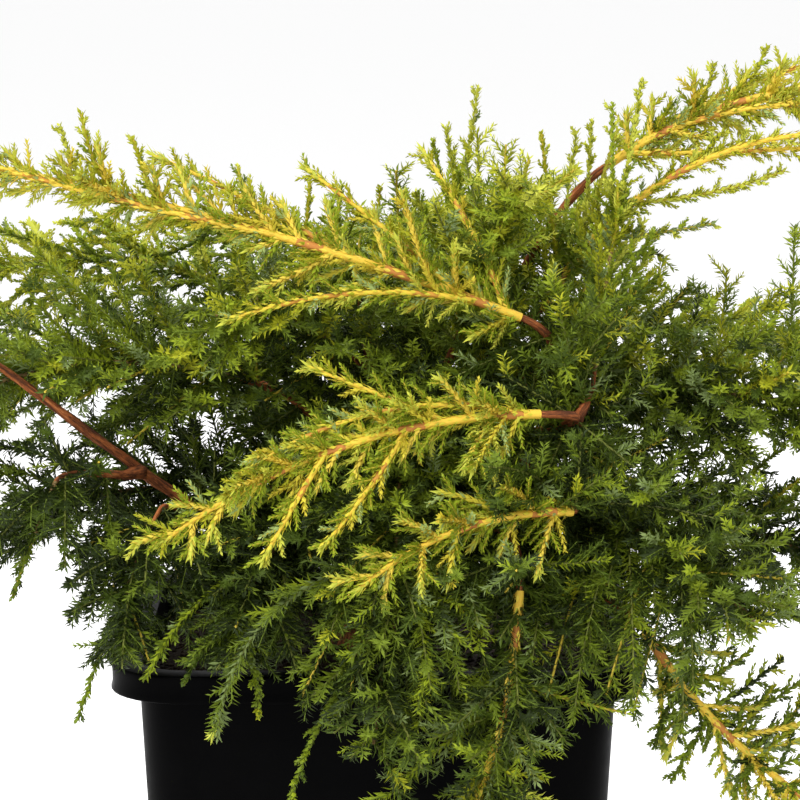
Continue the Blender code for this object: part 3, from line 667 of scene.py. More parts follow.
# Shoots that reach for a place of their own: (where on the leader, the tip in millimetres)
REACHING_SHOOTS = {
    "back_middle": ((0.30, (8, 80, 423)),),
    "centre_spire": (
        (0.35, (25, 10, 443)),
        (0.52, (31, 15, 449)),
        (0.55, (46, 20, 467)),
    ),
    "centre_front": (
        (0.45, (44, -60, 454)),
        (0.70, (56, -90, 451)),
        (0.80, (66, -95, 445)),
    ),
    "right_upper": (
        (0.06, (89, -42, 452)),
        (0.12, (107, -44, 453)),
        (0.10, (73, -50, 452)),
        (0.20, (95, -55, 458)),
        (0.40, (180, -65, 437)),
        (0.25, (149, -60, 413)),
        (0.50, (153, -60, 454)),
    ),
    "stub_spray": (
        (0.60, (103, -75, 467)),
        (0.80, (116, -70, 477)),
    ),
    "right_leader": (
        (0.12, (131, -40, 466)),
        (0.20, (151, -35, 482)),
        (0.30, (174, -40, 490)),
    ),
    "left_leader": (
        (0.36, (-60, -110, 443)),
        (0.50, (-104, -122, 456)),
        (0.56, (-126, -125, 467)),
        (0.60, (-135, -127, 462)),
        (0.72, (-172, -130, 486)),
    ),
    "centre_left": (
        (0.50, (-30, -60, 431)),
        (0.35, (-16, -60, 430)),
        (0.10, (1, -50, 428)),
    ),
    "right_middle": (
        (0.62, (187, -45, 410)),
        (0.45, (159, -20, 387)),
        (0.40, (146, -30, 381)),
    ),
    "right_skirt": (
        (0.28, (111, -130, 181)),
        (0.20, (121, -128, 191)),
        (0.15, (118, -122, 201)),
        (0.22, (165, -95, 226)),
        (0.40, (175, -105, 213)),
        (0.50, (185, -112, 197)),
        (0.32, (129, -125, 175)),
        (0.50, (152, -135, 159)),
        (0.30, (179, -95, 222)),
        (0.36, (192, -100, 219)),
        (0.45, (186, -110, 205)),
        (0.55, (196, -115, 189)),
    ),
    "left_rim_spray": ((0.10, (-131, -125, 203)),),
    "left_skirt": ((0.25, (-159, -120, 256)),),
    "right_low": (
        (0.50, (197, -70, 306)),
        (0.45, (189, -80, 298)),
        (0.40, (181, -60, 311)),
    ),
    "right_front": (
        (0.40, (73, -168, 225)),
        (0.50, (84, -166, 214)),
        (0.30, (66, -165, 237)),
        (0.70, (110, -150, 211)),
        (0.62, (98, -160, 222)),
    ),
    "front_middle": (
        (0.60, (35, -172, 227)),
        (0.55, (47, -165, 233)),
        (0.70, (-13, -168, 219)),
        (0.66, (-32, -165, 222)),
        (0.80, (19, -172, 210)),
    ),
    "front_left": (
        (0.60, (-83, -150, 225)),
        (0.70, (-64, -155, 223)),
        (0.80, (-50, -160, 213)),
        (0.50, (-99, -145, 227)),
    ),
    "front_apron": ((0.25, (-41, -170, 165)),),
}
print(len(LIMBS), "limbs,", sum(map(len, PLACED_SHOOTS.values())), "placed shoots and")
print(sum(map(len, REACHING_SHOOTS.values())), "shoots that reach for a place")

# %% [markdown]
# A shoot is a line whose bearing and climb change evenly from its root to its tip. That one rule
# draws leaders, side shoots and the finest twigs alike. The next cell holds it, with the small tools
# that read a line: the point at a share of its length, the same line with finer steps, and the
# directions across it.

# %% Lines
def heading(bearing, climb):
    """The unit vector of a bearing and a climb, in degrees."""
    b, c = math.radians(bearing), math.radians(climb)
    return np.array([math.cos(c) * math.cos(b), math.cos(c) * math.sin(b), math.sin(c)])


def bearing_and_climb(vector):
    x, y, z = vector / np.linalg.norm(vector)
    return math.degrees(math.atan2(y, x)), math.degrees(math.asin(max(-1.0, min(1.0, z))))


def route(start, bearing, climb, length, lift, sweep, pitch):
    """Points along a shoot whose climb and bearing change evenly from its root to its tip."""
    count = max(2, round(length / pitch))
    shares = (np.arange(count) + 0.5) / count
    steps = [heading(bearing + sweep * t, climb + lift * t) for t in shares]
    return np.array(start) + np.concatenate([np.zeros((1, 3)), np.cumsum(steps, axis=0) * length / count])


def resampled(points, pitch):
    """The same line with a point at about every pitch, its ends kept."""
    lengths = np.linalg.norm(np.diff(points, axis=0), axis=1)
    along = np.concatenate([[0.0], np.cumsum(lengths)])
    count = max(2, math.ceil(along[-1] / pitch))
    places = np.linspace(0.0, along[-1], count + 1)
    return np.stack([np.interp(places, along, points[:, axis]) for axis in range(3)], axis=1)


def point_on(points, share):
    """The point and the direction at a share of a line's length."""
    place = share * (len(points) - 1)
    index = min(int(place), len(points) - 2)
    ahead = points[index + 1] - points[index]
    return points[index] + ahead * (place - index), ahead / np.linalg.norm(ahead)


def across_and_over(ahead):
    """Two unit vectors across a direction, the first of them level."""
    across = np.cross(ahead, (0.0, 0.0, 1.0))
    across /= max(1e-9, np.linalg.norm(across))
    return across, np.cross(across, ahead)


def side_and_depth(ahead):
    """Two unit vectors across a direction, the first of them in the plane of the front view."""
    side = np.cross(ahead, (0.0, 1.0, 0.0))
    side /= max(1e-9, np.linalg.norm(side))
    return side, np.cross(side, ahead)


# %% [markdown]
# ## The trunk and the boughs
#
# The trunk leans, tapers and flares at its foot. Each bough is a Bezier curve from the trunk, or from
# another bough, to the foot of its foliage. These are the lines of the frame's solids, repeated by
# the same rule: a bough starts where a flat end of its own thickness just clears the bark behind it.
# The dressed bough then runs back from there into the wood that carries it, as a grown limb does.

# %% Lines of the wood
TRUNK_FOOT = (-0.004, 0.004)
TRUNK_HEIGHT = 0.120
TRUNK_LEAN = (0.012, -0.006)
TRUNK_RADIUS = 0.0105
TRUNK_TOP_RADIUS = 0.0062
ROOT_FLARE = 0.007
FLARE_HEIGHT = 0.014
ROOT_RIDGES = 5
RIDGE_DEPTH = 0.12
BOUGH_RADIUS = 0.0046
BOUGH_TIP_RADIUS = 0.0024
BOUGH_CLIMB = 34.0
STEEP_CLIMB = 52.0
FORK_ANGLE = 52.0
BOUGH_REACH = 0.36
FORK_REACH = 0.14
WOOD_STEP = 0.0025


def trunk_axis(t):
    """The middle of the trunk at a share t of its height, leaning more towards the top."""
    x = TRUNK_FOOT[0] + TRUNK_LEAN[0] * t * t
    y = TRUNK_FOOT[1] + TRUNK_LEAN[1] * t * t
    return np.array([x, y, SOIL_LEVEL + SEAT_GAP + TRUNK_HEIGHT * t])


def trunk_radius(t):
    flare = ROOT_FLARE * math.exp(-t * TRUNK_HEIGHT / FLARE_HEIGHT)
    return TRUNK_RADIUS * (1 - t) + TRUNK_TOP_RADIUS * t + flare


def seated_start(carrier, middle, ahead, radius):
    """Walks out from a limb's middle until a flat end of this radius clears its bark by SEAT_GAP."""
    across, over = across_and_over(ahead)
    end = [
        radius * share * (math.cos(turn) * across + math.sin(turn) * over)
        for share in (0.0, 0.35, 0.7, 1.0)
        for turn in np.linspace(0, math.tau, 13)
    ]
    reach = 0.0
    while True:
        centre = middle + ahead * reach
        gaps = []
        for offset in end:
            place, normal, _, distance = carrier.find_nearest(centre + offset)
            outside = np.dot(centre + offset - np.array(place), normal) > 0
            gaps.append(distance if outside else -distance)
        if min(gaps) >= SEAT_GAP:
            return centre
        reach += SEAT_GAP / 3


def fork_heading(along, wanted):
    """Where a side bough leaves the one that carries it: out towards its foot, at the fork's angle."""
    out = wanted - along * (wanted @ along)
    out /= np.linalg.norm(out)
    angle = math.radians(FORK_ANGLE)
    return math.cos(angle) * along + math.sin(angle) * out


def bezier(start, leave, arrive, end, t):
    return (
        start * (1 - t) ** 3
        + leave * 3 * t * (1 - t) ** 2
        + arrive * 3 * t * t * (1 - t)
        + end * t**3
    )


def grow_boughs():
    """The line of every bough, the ones that carry others first."""
    limbs = {limb.name: limb for limb in LIMBS}
    graph = bpy.context.evaluated_depsgraph_get()
    lines = {}

    def line_of(name):
        if name in lines:
            return lines[name]
        limb = limbs[name]
        foot = np.array(limb.foot) / 1000
        if limb.forks_from == "trunk":
            carrier_node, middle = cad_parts["trunk"], trunk_axis(limb.along)
            bearing, steepness = bearing_and_climb(foot - middle)
            ahead = heading(bearing, BOUGH_CLIMB if steepness < STEEP_CLIMB else steepness)
        else:
            carrier_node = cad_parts["bough_" + limb.forks_from]
            middle, along = point_on(line_of(limb.forks_from), limb.along)
            ahead = fork_heading(along, foot - middle)
        carrier = BVHTree.FromObject(carrier_node, graph)
        start = seated_start(carrier, middle, ahead, BOUGH_RADIUS)
        reach = (BOUGH_REACH if limb.forks_from == "trunk" else FORK_REACH) * np.linalg.norm(foot - start)
        bends = (start, start + ahead * reach, foot - heading(limb.bearing, limb.climb) * reach, foot)
        lines[name] = np.array([bezier(*bends, t) for t in np.linspace(0, 1, 25)])
        return lines[name]

    for limb in LIMBS:
        line_of(limb.name)
    return lines


bough_lines = grow_boughs()
print("boughs:", len(bough_lines))

# %% [markdown]
# ## Which mass owns a place
#
# In the solids each mass keeps to its own space: a point belongs to the mass whose leader is nearest,
# and dense masses claim more. The real plant's sprays knit into each other, so here a twig may cross
# the border by a few millimetres. The room over the pot stays closed to all of them, and so does the
# air over the crown: its top is a line of heights from left to right, as seen from the front.

# %% Space
SPACE_STEP = 0.004
CLAIM_PER_CORE = 0.5
OPEN_CLAIM = 0.009
KNIT = 0.011
POT_CLEARANCE = 0.004

# The top of the green crown in millimetres: (from left to right, height at the middle of the pot)
CROWN_TOP = (
    (-320, 418),
    (-176, 416),
    (-129, 412),
    (-92, 412),
    (-60, 408),
    (-22, 414),
    (1, 413),
    (10, 420),
    (24, 426),
    (40, 434),
    (52, 425),
    (66, 421),
    (84, 431),
    (103, 430),
    (121, 400),
    (145, 377),
    (320, 371),
)
# The hanging edge of the crown in the same way; the skirts and golden shoots hang lower
CROWN_FOOT = (
    (-320, 262),
    (-180, 262),
    (-158, 244),
    (-150, 262),
    (-135, 262),
    (-134, 200),
    (-130, 192),
    (-124, 208),
    (-48, 206),
    (-44, 184),
    (-22, 184),
    (-12, 168),
    (2, 175),
    (5, 140),
    (40, 140),
    (48, 165),
    (92, 162),
    (100, 180),
    (114, 172),
    (130, 190),
    (150, 218),
    (170, 226),
    (320, 226),
)
VIEW_SLOPE = 0.158


def leader_of(limb, pitch):
    ahead = heading(limb.bearing, limb.climb)
    start = np.array(limb.foot) / 1000 + ahead * SEAT_GAP
    return route(
        start, limb.bearing, limb.climb, limb.length / 1000, limb.lift, limb.sweep, pitch
    )


def placed_routes(limb, leader, pitch):
    routes = []
    for shoot in PLACED_SHOOTS.get(limb.name, ()):
        root, _ = point_on(leader, shoot.along)
        routes.append(route(root, shoot.bearing, shoot.climb, shoot.length / 1000, shoot.lift, 0.0, pitch))
    return routes


def reaching_routes(limb, leader, pitch):
    """Shoots that leave the leader level and turn towards the place that they reach for."""
    draw = random.Random(limb.length)
    routes = []
    for along, tip in REACHING_SHOOTS.get(limb.name, ()):
        root, _ = point_on(leader, along)
        way = np.array(tip) / 1000 - root
        level = draw.uniform(0.3, 0.75)
        bend = root + way * (level, level, 0.30)
        count = max(4, round(np.linalg.norm(way) / pitch))
        t = np.linspace(0, 1, count + 1)[:, None]
        routes.append(root * (1 - t) ** 2 + bend * 2 * t * (1 - t) + (root + way) * t**2)
    return routes


class Space:
    """Which mass owns each point: the nearest leader or placed shoot, with dense masses claiming more."""

    def __init__(self):
        spines = []
        for limb in LIMBS:
            leader = leader_of(limb, SPACE_STEP)
            spines.append(np.concatenate([leader] + placed_routes(limb, leader, SPACE_STEP)))
        self.points = np.concatenate(spines)
        self.owners = np.repeat(np.arange(len(LIMBS)), [len(spine) for spine in spines])
        claims = [limb.core / 1000 * CLAIM_PER_CORE if limb.core else OPEN_CLAIM for limb in LIMBS]
        self.claims = np.array(claims)[self.owners]

    def owned(self, points, owner):
        """True for each point in or just outside the owner's space."""
        squares = (points**2).sum(1)[:, None] + (self.points**2).sum(1) - 2 * points @ self.points.T
        away = np.sqrt(np.maximum(squares, 0.0)) - self.claims
        own = away[:, self.owners == owner].min(axis=1)
        other = away[:, self.owners != owner].min(axis=1)
        return own < other + KNIT


def clear_of_pot(points):
    over_pot = np.abs(points[:, :2]).max(axis=1) < RIM_WIDTH / 2 + POT_CLEARANCE
    return ~(over_pot & (points[:, 2] < POT_HEIGHT + POT_CLEARANCE))


def in_crown(points):
    """True for each point between the crown's top and its foot, as the front view shows them."""
    seen = points[:, 2] + VIEW_SLOPE * points[:, 1]
    top_places, tops = np.array(CROWN_TOP).T / 1000
    foot_places, feet = np.array(CROWN_FOOT).T / 1000
    return (seen < np.interp(points[:, 0], top_places, tops)) & (
        seen > np.interp(points[:, 0], foot_places, feet)
    )


# Boughs whose bark the photograph shows, with the share from which it is bare
BARE_WOOD = {"left_bough": 0.50, "right_leader": 0.86, "golden_fan": 0.86}
BARE_WIDTH = 0.0050


def bare_wood_points():
    bare = [bough_lines[name][int(share * 24) :] for name, share in BARE_WOOD.items()]
    return np.concatenate([resampled(line, 0.003) for line in bare])


bark_shown = bare_wood_points()


def beside_bark(points):
    """False for each point that would hide the bare bark from the front."""
    seen = points[:, 2] + VIEW_SLOPE * points[:, 1]
    bark_seen = bark_shown[:, 2] + VIEW_SLOPE * bark_shown[:, 1]
    across = points[:, :1] - bark_shown[:, 0]
    apart = np.hypot(across, seen[:, None] - bark_seen)
    before = points[:, 1:2] < bark_shown[:, 1] + BARE_WIDTH
    return ~((apart < BARE_WIDTH) & before).any(axis=1)


space = Space()

# %% [markdown]
# ## Growing the shoots
#
# A leader carries side shoots, turned round it by the golden angle, as the solids' rule says with the
# same seeds. The solids have room for one side shoot in every 22 mm. The living plant has far more,
# so a second seeded run sets finer shoots between them, and a third one dresses the boughs inside the
# crown, where the photograph shows hardly any bare wood. Each side shoot carries twigs of up to
# 27 mm, set mostly left and right, because a juniper's sprays are flat.

# %% Side shoots
SHOOT_SPACING = {"open": 0.052, "dense": 0.022}
FILL_SPACING = {"open": 0.0085, "dense": 0.0062}
INNER_SPACING = 0.0052
# The sides that the photograph shows are the densest
CROWDING = {
    "front_middle": 1.8,
    "front_left": 1.7,
    "right_front": 1.8,
    "right_middle": 1.8,
    "right_low": 1.7,
    "left_rim_spray": 1.5,
    "left_skirt": 1.3,
    "left_front": 1.4,
    "left_low": 1.2,
    "front_apron": 1.5,
    "front_skirt": 1.4,
    "back_middle": 1.15,
    "back_left": 1.15,
    "back_right": 1.15,
    "back_low": 1.25,
}
SIDE_REACH = {"back_left": 1.5, "back_middle": 1.5, "back_right": 1.5, "back_low": 1.5, "left_side": 1.25}
GOLDEN_SIDES = {"right_leader": 0.5, "left_leader": 0.7}
FIRST_SHOOT = 0.012
SHOOT_ANGLE = 54.0
SHOOT_TAPER = 0.45
GOLDEN_ANGLE = 137.5
SHOOT_STEP = 0.004
FLAT_SPREAD = 30.0

# How much of a bough is dressed, from and to which share of it, where that isn't nearly all of it
DRESSED_BOUGH = {
    "right_leader": (0.10, 0.80),
    "left_leader": (0.10, 0.92),
    "golden_fan": (0.10, 0.84),
    "left_bough": (0.05, 0.50),
    "right_upper": (0.05, 1.0),
    "front_skirt": (0.05, 1.0),
}
DRESSED_DEFAULT = (0.15, 1.0)


def side_route(line, share, turn, spread, size, rise, axes=across_and_over):
    """A side shoot at a share of a line, turned round it and spread from it by these angles."""
    root, ahead = point_on(line, share)
    across, over = axes(ahead)
    out = math.cos(math.radians(turn)) * across + math.sin(math.radians(turn)) * over
    spread = math.radians(spread)
    bearing, climb = bearing_and_climb(math.cos(spread) * ahead + math.sin(spread) * out)
    return route(root, bearing, climb, size, rise, 0.0, SHOOT_STEP)


def seeded_routes(limb, owner, leader):
    """The side shoots of the solids, from the same seeds."""
    draw = random.Random(owner + 1)
    length = limb.length / 1000
    spacing = SHOOT_SPACING["dense" if limb.core else "open"]
    turn = draw.uniform(0, 360)
    routes = []
    for number in range(int((length - FIRST_SHOOT) / spacing)):
        share = (FIRST_SHOOT + spacing * (number + draw.uniform(0.0, 0.6))) / length
        turn += GOLDEN_ANGLE + draw.uniform(-15, 15)
        spread = SHOOT_ANGLE - 16 * share + draw.uniform(-6, 6)
        size = limb.side / 1000 * (1 - SHOOT_TAPER * share) * draw.uniform(0.85, 1.15)
        routes.append(side_route(leader, share, turn, spread, size, limb.rise))
    return routes


def filling_routes(limb, owner, leader):
    """Finer side shoots between those of the solids, of mixed lengths."""
    draw = random.Random(2000 + owner)
    length = limb.length / 1000
    spacing = FILL_SPACING["open" if limb.tone == "gold" else "dense"] / CROWDING.get(limb.name, 1.0)
    turn = draw.uniform(0, 360)
    routes = []
    golden = limb.tone == "gold"
    for number in range(int(length / spacing)):
        share = min(0.97, (0.002 + spacing * (number + draw.uniform(0.0, 0.9))) / length)
        turn += GOLDEN_ANGLE + draw.uniform(-25, 25)
        if golden:
            turn = 180 * (number % 2) + draw.gauss(0, FLAT_SPREAD)
        spread = SHOOT_ANGLE - 16 * share + draw.uniform(-14, 14)
        size = limb.side / 1000 * (1 - SHOOT_TAPER * share) * draw.uniform(0.55, 1.0)
        size *= SIDE_REACH.get(limb.name, 1.0)
        if golden:
            size *= GOLDEN_SIDES.get(limb.name, 0.8)
        axes = side_and_depth if golden else across_and_over
        routes.append(side_route(leader, share, turn, spread, size, limb.rise, axes))
    return routes


def inner_routes(limb, owner):
    """Shoots along the bough itself, which fill the crown's inside."""
    draw = random.Random(4000 + owner)
    line = bough_lines[limb.name]
    first, last = DRESSED_BOUGH.get(limb.name, DRESSED_DEFAULT)
    length = np.linalg.norm(np.diff(line, axis=0), axis=1).sum()
    turn = draw.uniform(0, 360)
    routes = []
    spacing = INNER_SPACING / CROWDING.get(limb.name, 1.0) ** 0.5
    for number in range(int(length * (last - first) / spacing)):
        share = first + spacing * (number + draw.uniform(0.0, 0.9)) / length
        turn += GOLDEN_ANGLE + draw.uniform(-25, 25)
        spread = 62 + draw.uniform(-18, 18)
        size = draw.uniform(0.036, 0.074)
        routes.append(side_route(line, min(share, 0.99), turn, spread, size, draw.uniform(-30, 20)))
    return routes


def kept(line, allowed, start):
    """The line from its root to where it would leave the room that it is allowed."""
    allowed = allowed.copy()
    allowed[:start] = True
    return line if allowed.all() else line[: int(np.argmin(allowed))]


# %% [markdown]
# The finest twigs come next. Each one knows its habit, that is how its needles stand, and its shade.
# Shades are dealt out by spray: nearly black-green in the heart of the crown, which is painted shade,
# and brighter higher up and farther out, which is painted light. The growing tips are also truly
# fresher, and the golden shoots stand over all that.

# %% Twigs
TWIG_PITCH = {"gold": 0.0036, "lime": 0.0042, "green": 0.0048, "dark": 0.0049}
TWIG_LENGTH = {"gold": 0.017, "lime": 0.015, "green": 0.024, "dark": 0.024}
TWIG_LEAN = {"gold": 50.0, "lime": 50.0, "green": 45.0, "dark": 45.0}
BUD_LENGTH = 0.010
TWIG_STEP = 0.0045
TUFT_LENGTH = 0.012

Twig = namedtuple("Twig", "line sizes habit shade stem")


def twig_roots(line, pitch, draw):
    """Where twigs leave a shoot: its share and its turn, mostly left and right by turns."""
    length = np.linalg.norm(np.diff(line, axis=0), axis=1).sum()
    count = int(length / pitch)
    side = draw.choice((-1, 1))
    for number in range(count):
        share = (number + 0.4 + draw.uniform(-0.25, 0.25)) / count
        side = -side
        turn = 90 - side * (90 + draw.gauss(0, FLAT_SPREAD))
        if number % 5 == 4:
            turn = draw.uniform(40, 140)
        yield share, turn


def twig_lines(line, tone, longest, axes, draw, rise):
    """Short lines that branch from a shoot, shorter towards its tip."""
    found = []
    for share, turn in twig_roots(line, TWIG_PITCH[tone], draw):
        spread = 90 - TWIG_LEAN[tone] + draw.uniform(-9, 9)
        size = longest * (1.05 - 0.55 * share) * draw.uniform(0.55, 1.0)
        root, ahead = point_on(line, share)
        across, over = axes(ahead)
        out = math.cos(math.radians(turn)) * across + math.sin(math.radians(turn)) * over
        spread = math.radians(spread)
        bearing, climb = bearing_and_climb(math.cos(spread) * ahead + math.sin(spread) * out)
        found.append((share, route(root, bearing, climb, size, rise, 0.0, TWIG_STEP)))
    return found


HABITS = {
    "gold": ("golden",),
    "lime": ("scaly", "scaly", "golden"),
    "green": ("comb", "comb", "brush"),
    "dark": ("comb", "comb", "brush"),
}

# Shades from dark to bright, picked by painted light and shade, and how each tone shifts them
PAINTED_LIGHT_LADDER = ("deep", "dark", "green", "fresh", "lime", "pale")
TONE_LIGHT = {"gold": 0.10, "lime": 0.05, "green": 0.0, "dark": -0.10}
# Painted light and shade: sprays farther out, higher up and on the limbs listed below get brighter shades
LIGHT_BY_REACH = 0.54
LIGHT_BY_HEIGHT = 2.6
LIMB_LIGHT = {"right_skirt": 0.22, "front_skirt": 0.12, "front_apron": 0.08, "right_upper": 0.12}
LIGHT_FOOT = 0.25
LIGHT_SPREAD = 0.15


def shade_for(tone, reach, tip, more, draw):
    """The shade of a spray, as painted light: brighter farther out, higher up and in a lighter tone."""
    height = max(0.0, tip[2] + VIEW_SLOPE * tip[1] - LIGHT_FOOT)
    light = LIGHT_BY_REACH * reach + LIGHT_BY_HEIGHT * height + TONE_LIGHT[tone] + more
    step = int((light + draw.gauss(0, LIGHT_SPREAD)) * len(PAINTED_LIGHT_LADDER))
    if tone == "gold":
        step = max(3, step)
        if draw.random() < 0.30:
            return draw.choice(("yellow", "sage", "pale"))
    elif step in (2, 3) and draw.random() < 0.10:
        return "blue"
    return PAINTED_LIGHT_LADDER[max(0, min(len(PAINTED_LIGHT_LADDER) - 1, step))]


# %% [markdown]
# A mass is grown in that order: its leader, its placed shoots, the shoots of the solids, the finer
# ones and the inner ones, each with its twigs. A line is cut where it would leave its room. Shoots on
# golden limbs have a thick yellow stem with needles pressed to it, and end in a pale open tuft.

# %% Masses
# Limbs whose needles have another tone than their slot, and limbs with a golden stem
NEEDLE_TONE = {"right_skirt": "lime"}
BARE_LEADER = 0.12
GOLDEN_STEMMED = ("front_skirt", "right_upper")


def shoots_of(limb, owner, leader):
    """The lines that carry twigs, each with its kind."""
    golden = limb.tone == "gold"
    gilded = golden or limb.name in GOLDEN_STEMMED
    free = golden or limb.name == "front_skirt"
    main = leader if gilded else kept(leader, in_crown(leader), 4)
    found = [("leader", main if gilded else main[int(BARE_LEADER * len(main)) :])]
    for line in placed_routes(limb, leader, SHOOT_STEP):
        found.append(("placed", kept(line, space.owned(line, owner) & clear_of_pot(line), 2)))
    for line in reaching_routes(limb, leader, SHOOT_STEP):
        found.append(("reaching", kept(line, clear_of_pot(line), 2)))
    for line in seeded_routes(limb, owner, leader) + filling_routes(limb, owner, leader):
        allowed = space.owned(line, owner) & clear_of_pot(line) & beside_bark(line)
        found.append(("side", kept(line, allowed & (free | in_crown(line)), 3)))
    for line in inner_routes(limb, owner):
        allowed = clear_of_pot(line) & in_crown(line) & beside_bark(line)
        found.append(("inner", kept(line, allowed, 1)))
    return [(kind, line) for kind, line in found if len(line) >= 4]


def brown_patches(kind, line, draw):
    """Short red-brown stretches at intervals along a golden stem."""
    if kind == "side":
        return []
    patches = []
    for first in range(2, int(0.7 * len(line)), 9):
        first += draw.randrange(5)
        size = 1.05 * (1 - 0.55 * (first + 2) / len(line))
        patches.append(Twig(line[first : first + 4], (size, size), None, None, "patch_" + kind))
    return [patch for patch in patches if len(patch.line) == 4]


def dressed_stem(kind, line, tone, gilt, shade, draw):
    """The stem of a shoot with the needles that sit on it."""
    if not gilt:
        golden_bark = draw.random() < (0.5 if kind == "reaching" else 0.12)
        stem = "leader" if kind == "leader" else "gold_stem" if golden_bark else "green_stem"
        return [Twig(line, (1.0, 0.85), draw.choice(HABITS[tone]), shade, stem)]
    stem, needles = {
        "leader": ("golden_leader", "pressed"),
        "placed": ("golden_shoot", "pressed"),
        "side": ("golden_side", "close"),
    }[kind]
    tuft = line[-max(3, int(TUFT_LENGTH / SHOOT_STEP)) :]
    return [
        Twig(line, (1.0, 0.45), None, None, stem),
        Twig(line, (1.0, 0.8), needles, draw.choice(("gold", "gold", "yellow")), None),
        Twig(tuft, (1.0, 0.9), "tuft", "pale", None),
        Twig(line, (1.0, 0.9), "free", draw.choice(("pale", "lime", "sage")), None),
    ] + brown_patches(kind, line, draw)


def grow(limb, owner):
    """All twigs of one mass."""
    draw = random.Random(3000 + owner)
    leader = leader_of(limb, SHOOT_STEP)
    reach = (limb.length + limb.side) / 1000
    golden = limb.tone == "gold"
    gilded = golden or limb.name in GOLDEN_STEMMED
    more = LIMB_LIGHT.get(limb.name, 0.0)
    twigs = []
    for kind, line in shoots_of(limb, owner, leader):
        tone = NEEDLE_TONE.get(limb.name, limb.tone)
        if kind == "inner" and tone != "dark":
            tone = "green"
        if kind == "reaching":
            tone = tone if tone == "green" else "lime"
        # Inner shoots count as deep in the crown, so they take dark shades: painted shade
        depth = 0.1 if kind == "inner" else np.linalg.norm(line[-1] - leader[0]) / reach
        shade = shade_for(tone, depth, line[-1], more, draw)
        gilt = kind in ("leader", "placed", "side") if golden else kind == "leader" and gilded
        twigs += dressed_stem(kind, line, tone, gilt, shade, draw)
        budding = kind == "reaching" and tone == "lime" and limb.name != "right_skirt"
        longest = BUD_LENGTH if budding else TWIG_LENGTH[tone]
        axes = side_and_depth if gilded else across_and_over
        batch = twig_lines(line, tone, longest, axes, draw, limb.rise * 0.4)
        if not batch:
            continue
        points = np.concatenate([found for _, found in batch])
        allowed = clear_of_pot(points) & beside_bark(points)
        if kind not in ("inner", "reaching"):
            allowed &= space.owned(points, owner)
        if kind in ("side", "inner") and not golden and limb.name != "front_skirt":
            allowed &= in_crown(points)
        habit = draw.choice(HABITS[tone])
        ends = np.cumsum([len(found) for _, found in batch])
        for (share, found), room in zip(batch, np.split(allowed, ends[:-1])):
            found = kept(found, room, 1)
            if len(found) < 2:
                continue
            out = np.linalg.norm(found[-1] - leader[0]) / reach * (0.75 + 0.35 * share)
            # Twigs of inner shoots stay dark too: painted shade of the crown's heart
            if kind == "inner":
                out = 0.45 * share
            stem = "gold_twig" if tone == "gold" else "green_twig"
            shade = shade_for(tone, out, found[-1], more, draw)
            twigs.append(Twig(found, (1.0, 0.55), habit, shade, stem))
    return twigs


grown = {limb.name: grow(limb, owner) for owner, limb in enumerate(LIMBS)}
twig_metres = sum(
    np.linalg.norm(np.diff(twig.line, axis=0), axis=1).sum() for twigs in grown.values() for twig in twigs
)
print("twigs:", sum(map(len, grown.values())), "with", round(twig_metres, 1), "metres of needles")


# %% [markdown]
# ## Needles by Geometry Nodes
#
# One needle is a narrow diamond, widest a third of the way up and folded along its middle like the
# keel of a boat. A circle of four corners is a diamond already: a Set Position moves its corners to
# the needle's outline, and a Triangulate folds it along the longer diagonal. The twigs come in as
# chains of edges. They become curves, are cut into even steps, and each step gets one needle, turned
# round the twig by a fixed angle and leant forward. The same tree makes every habit, from pressed
# scales to open combs.

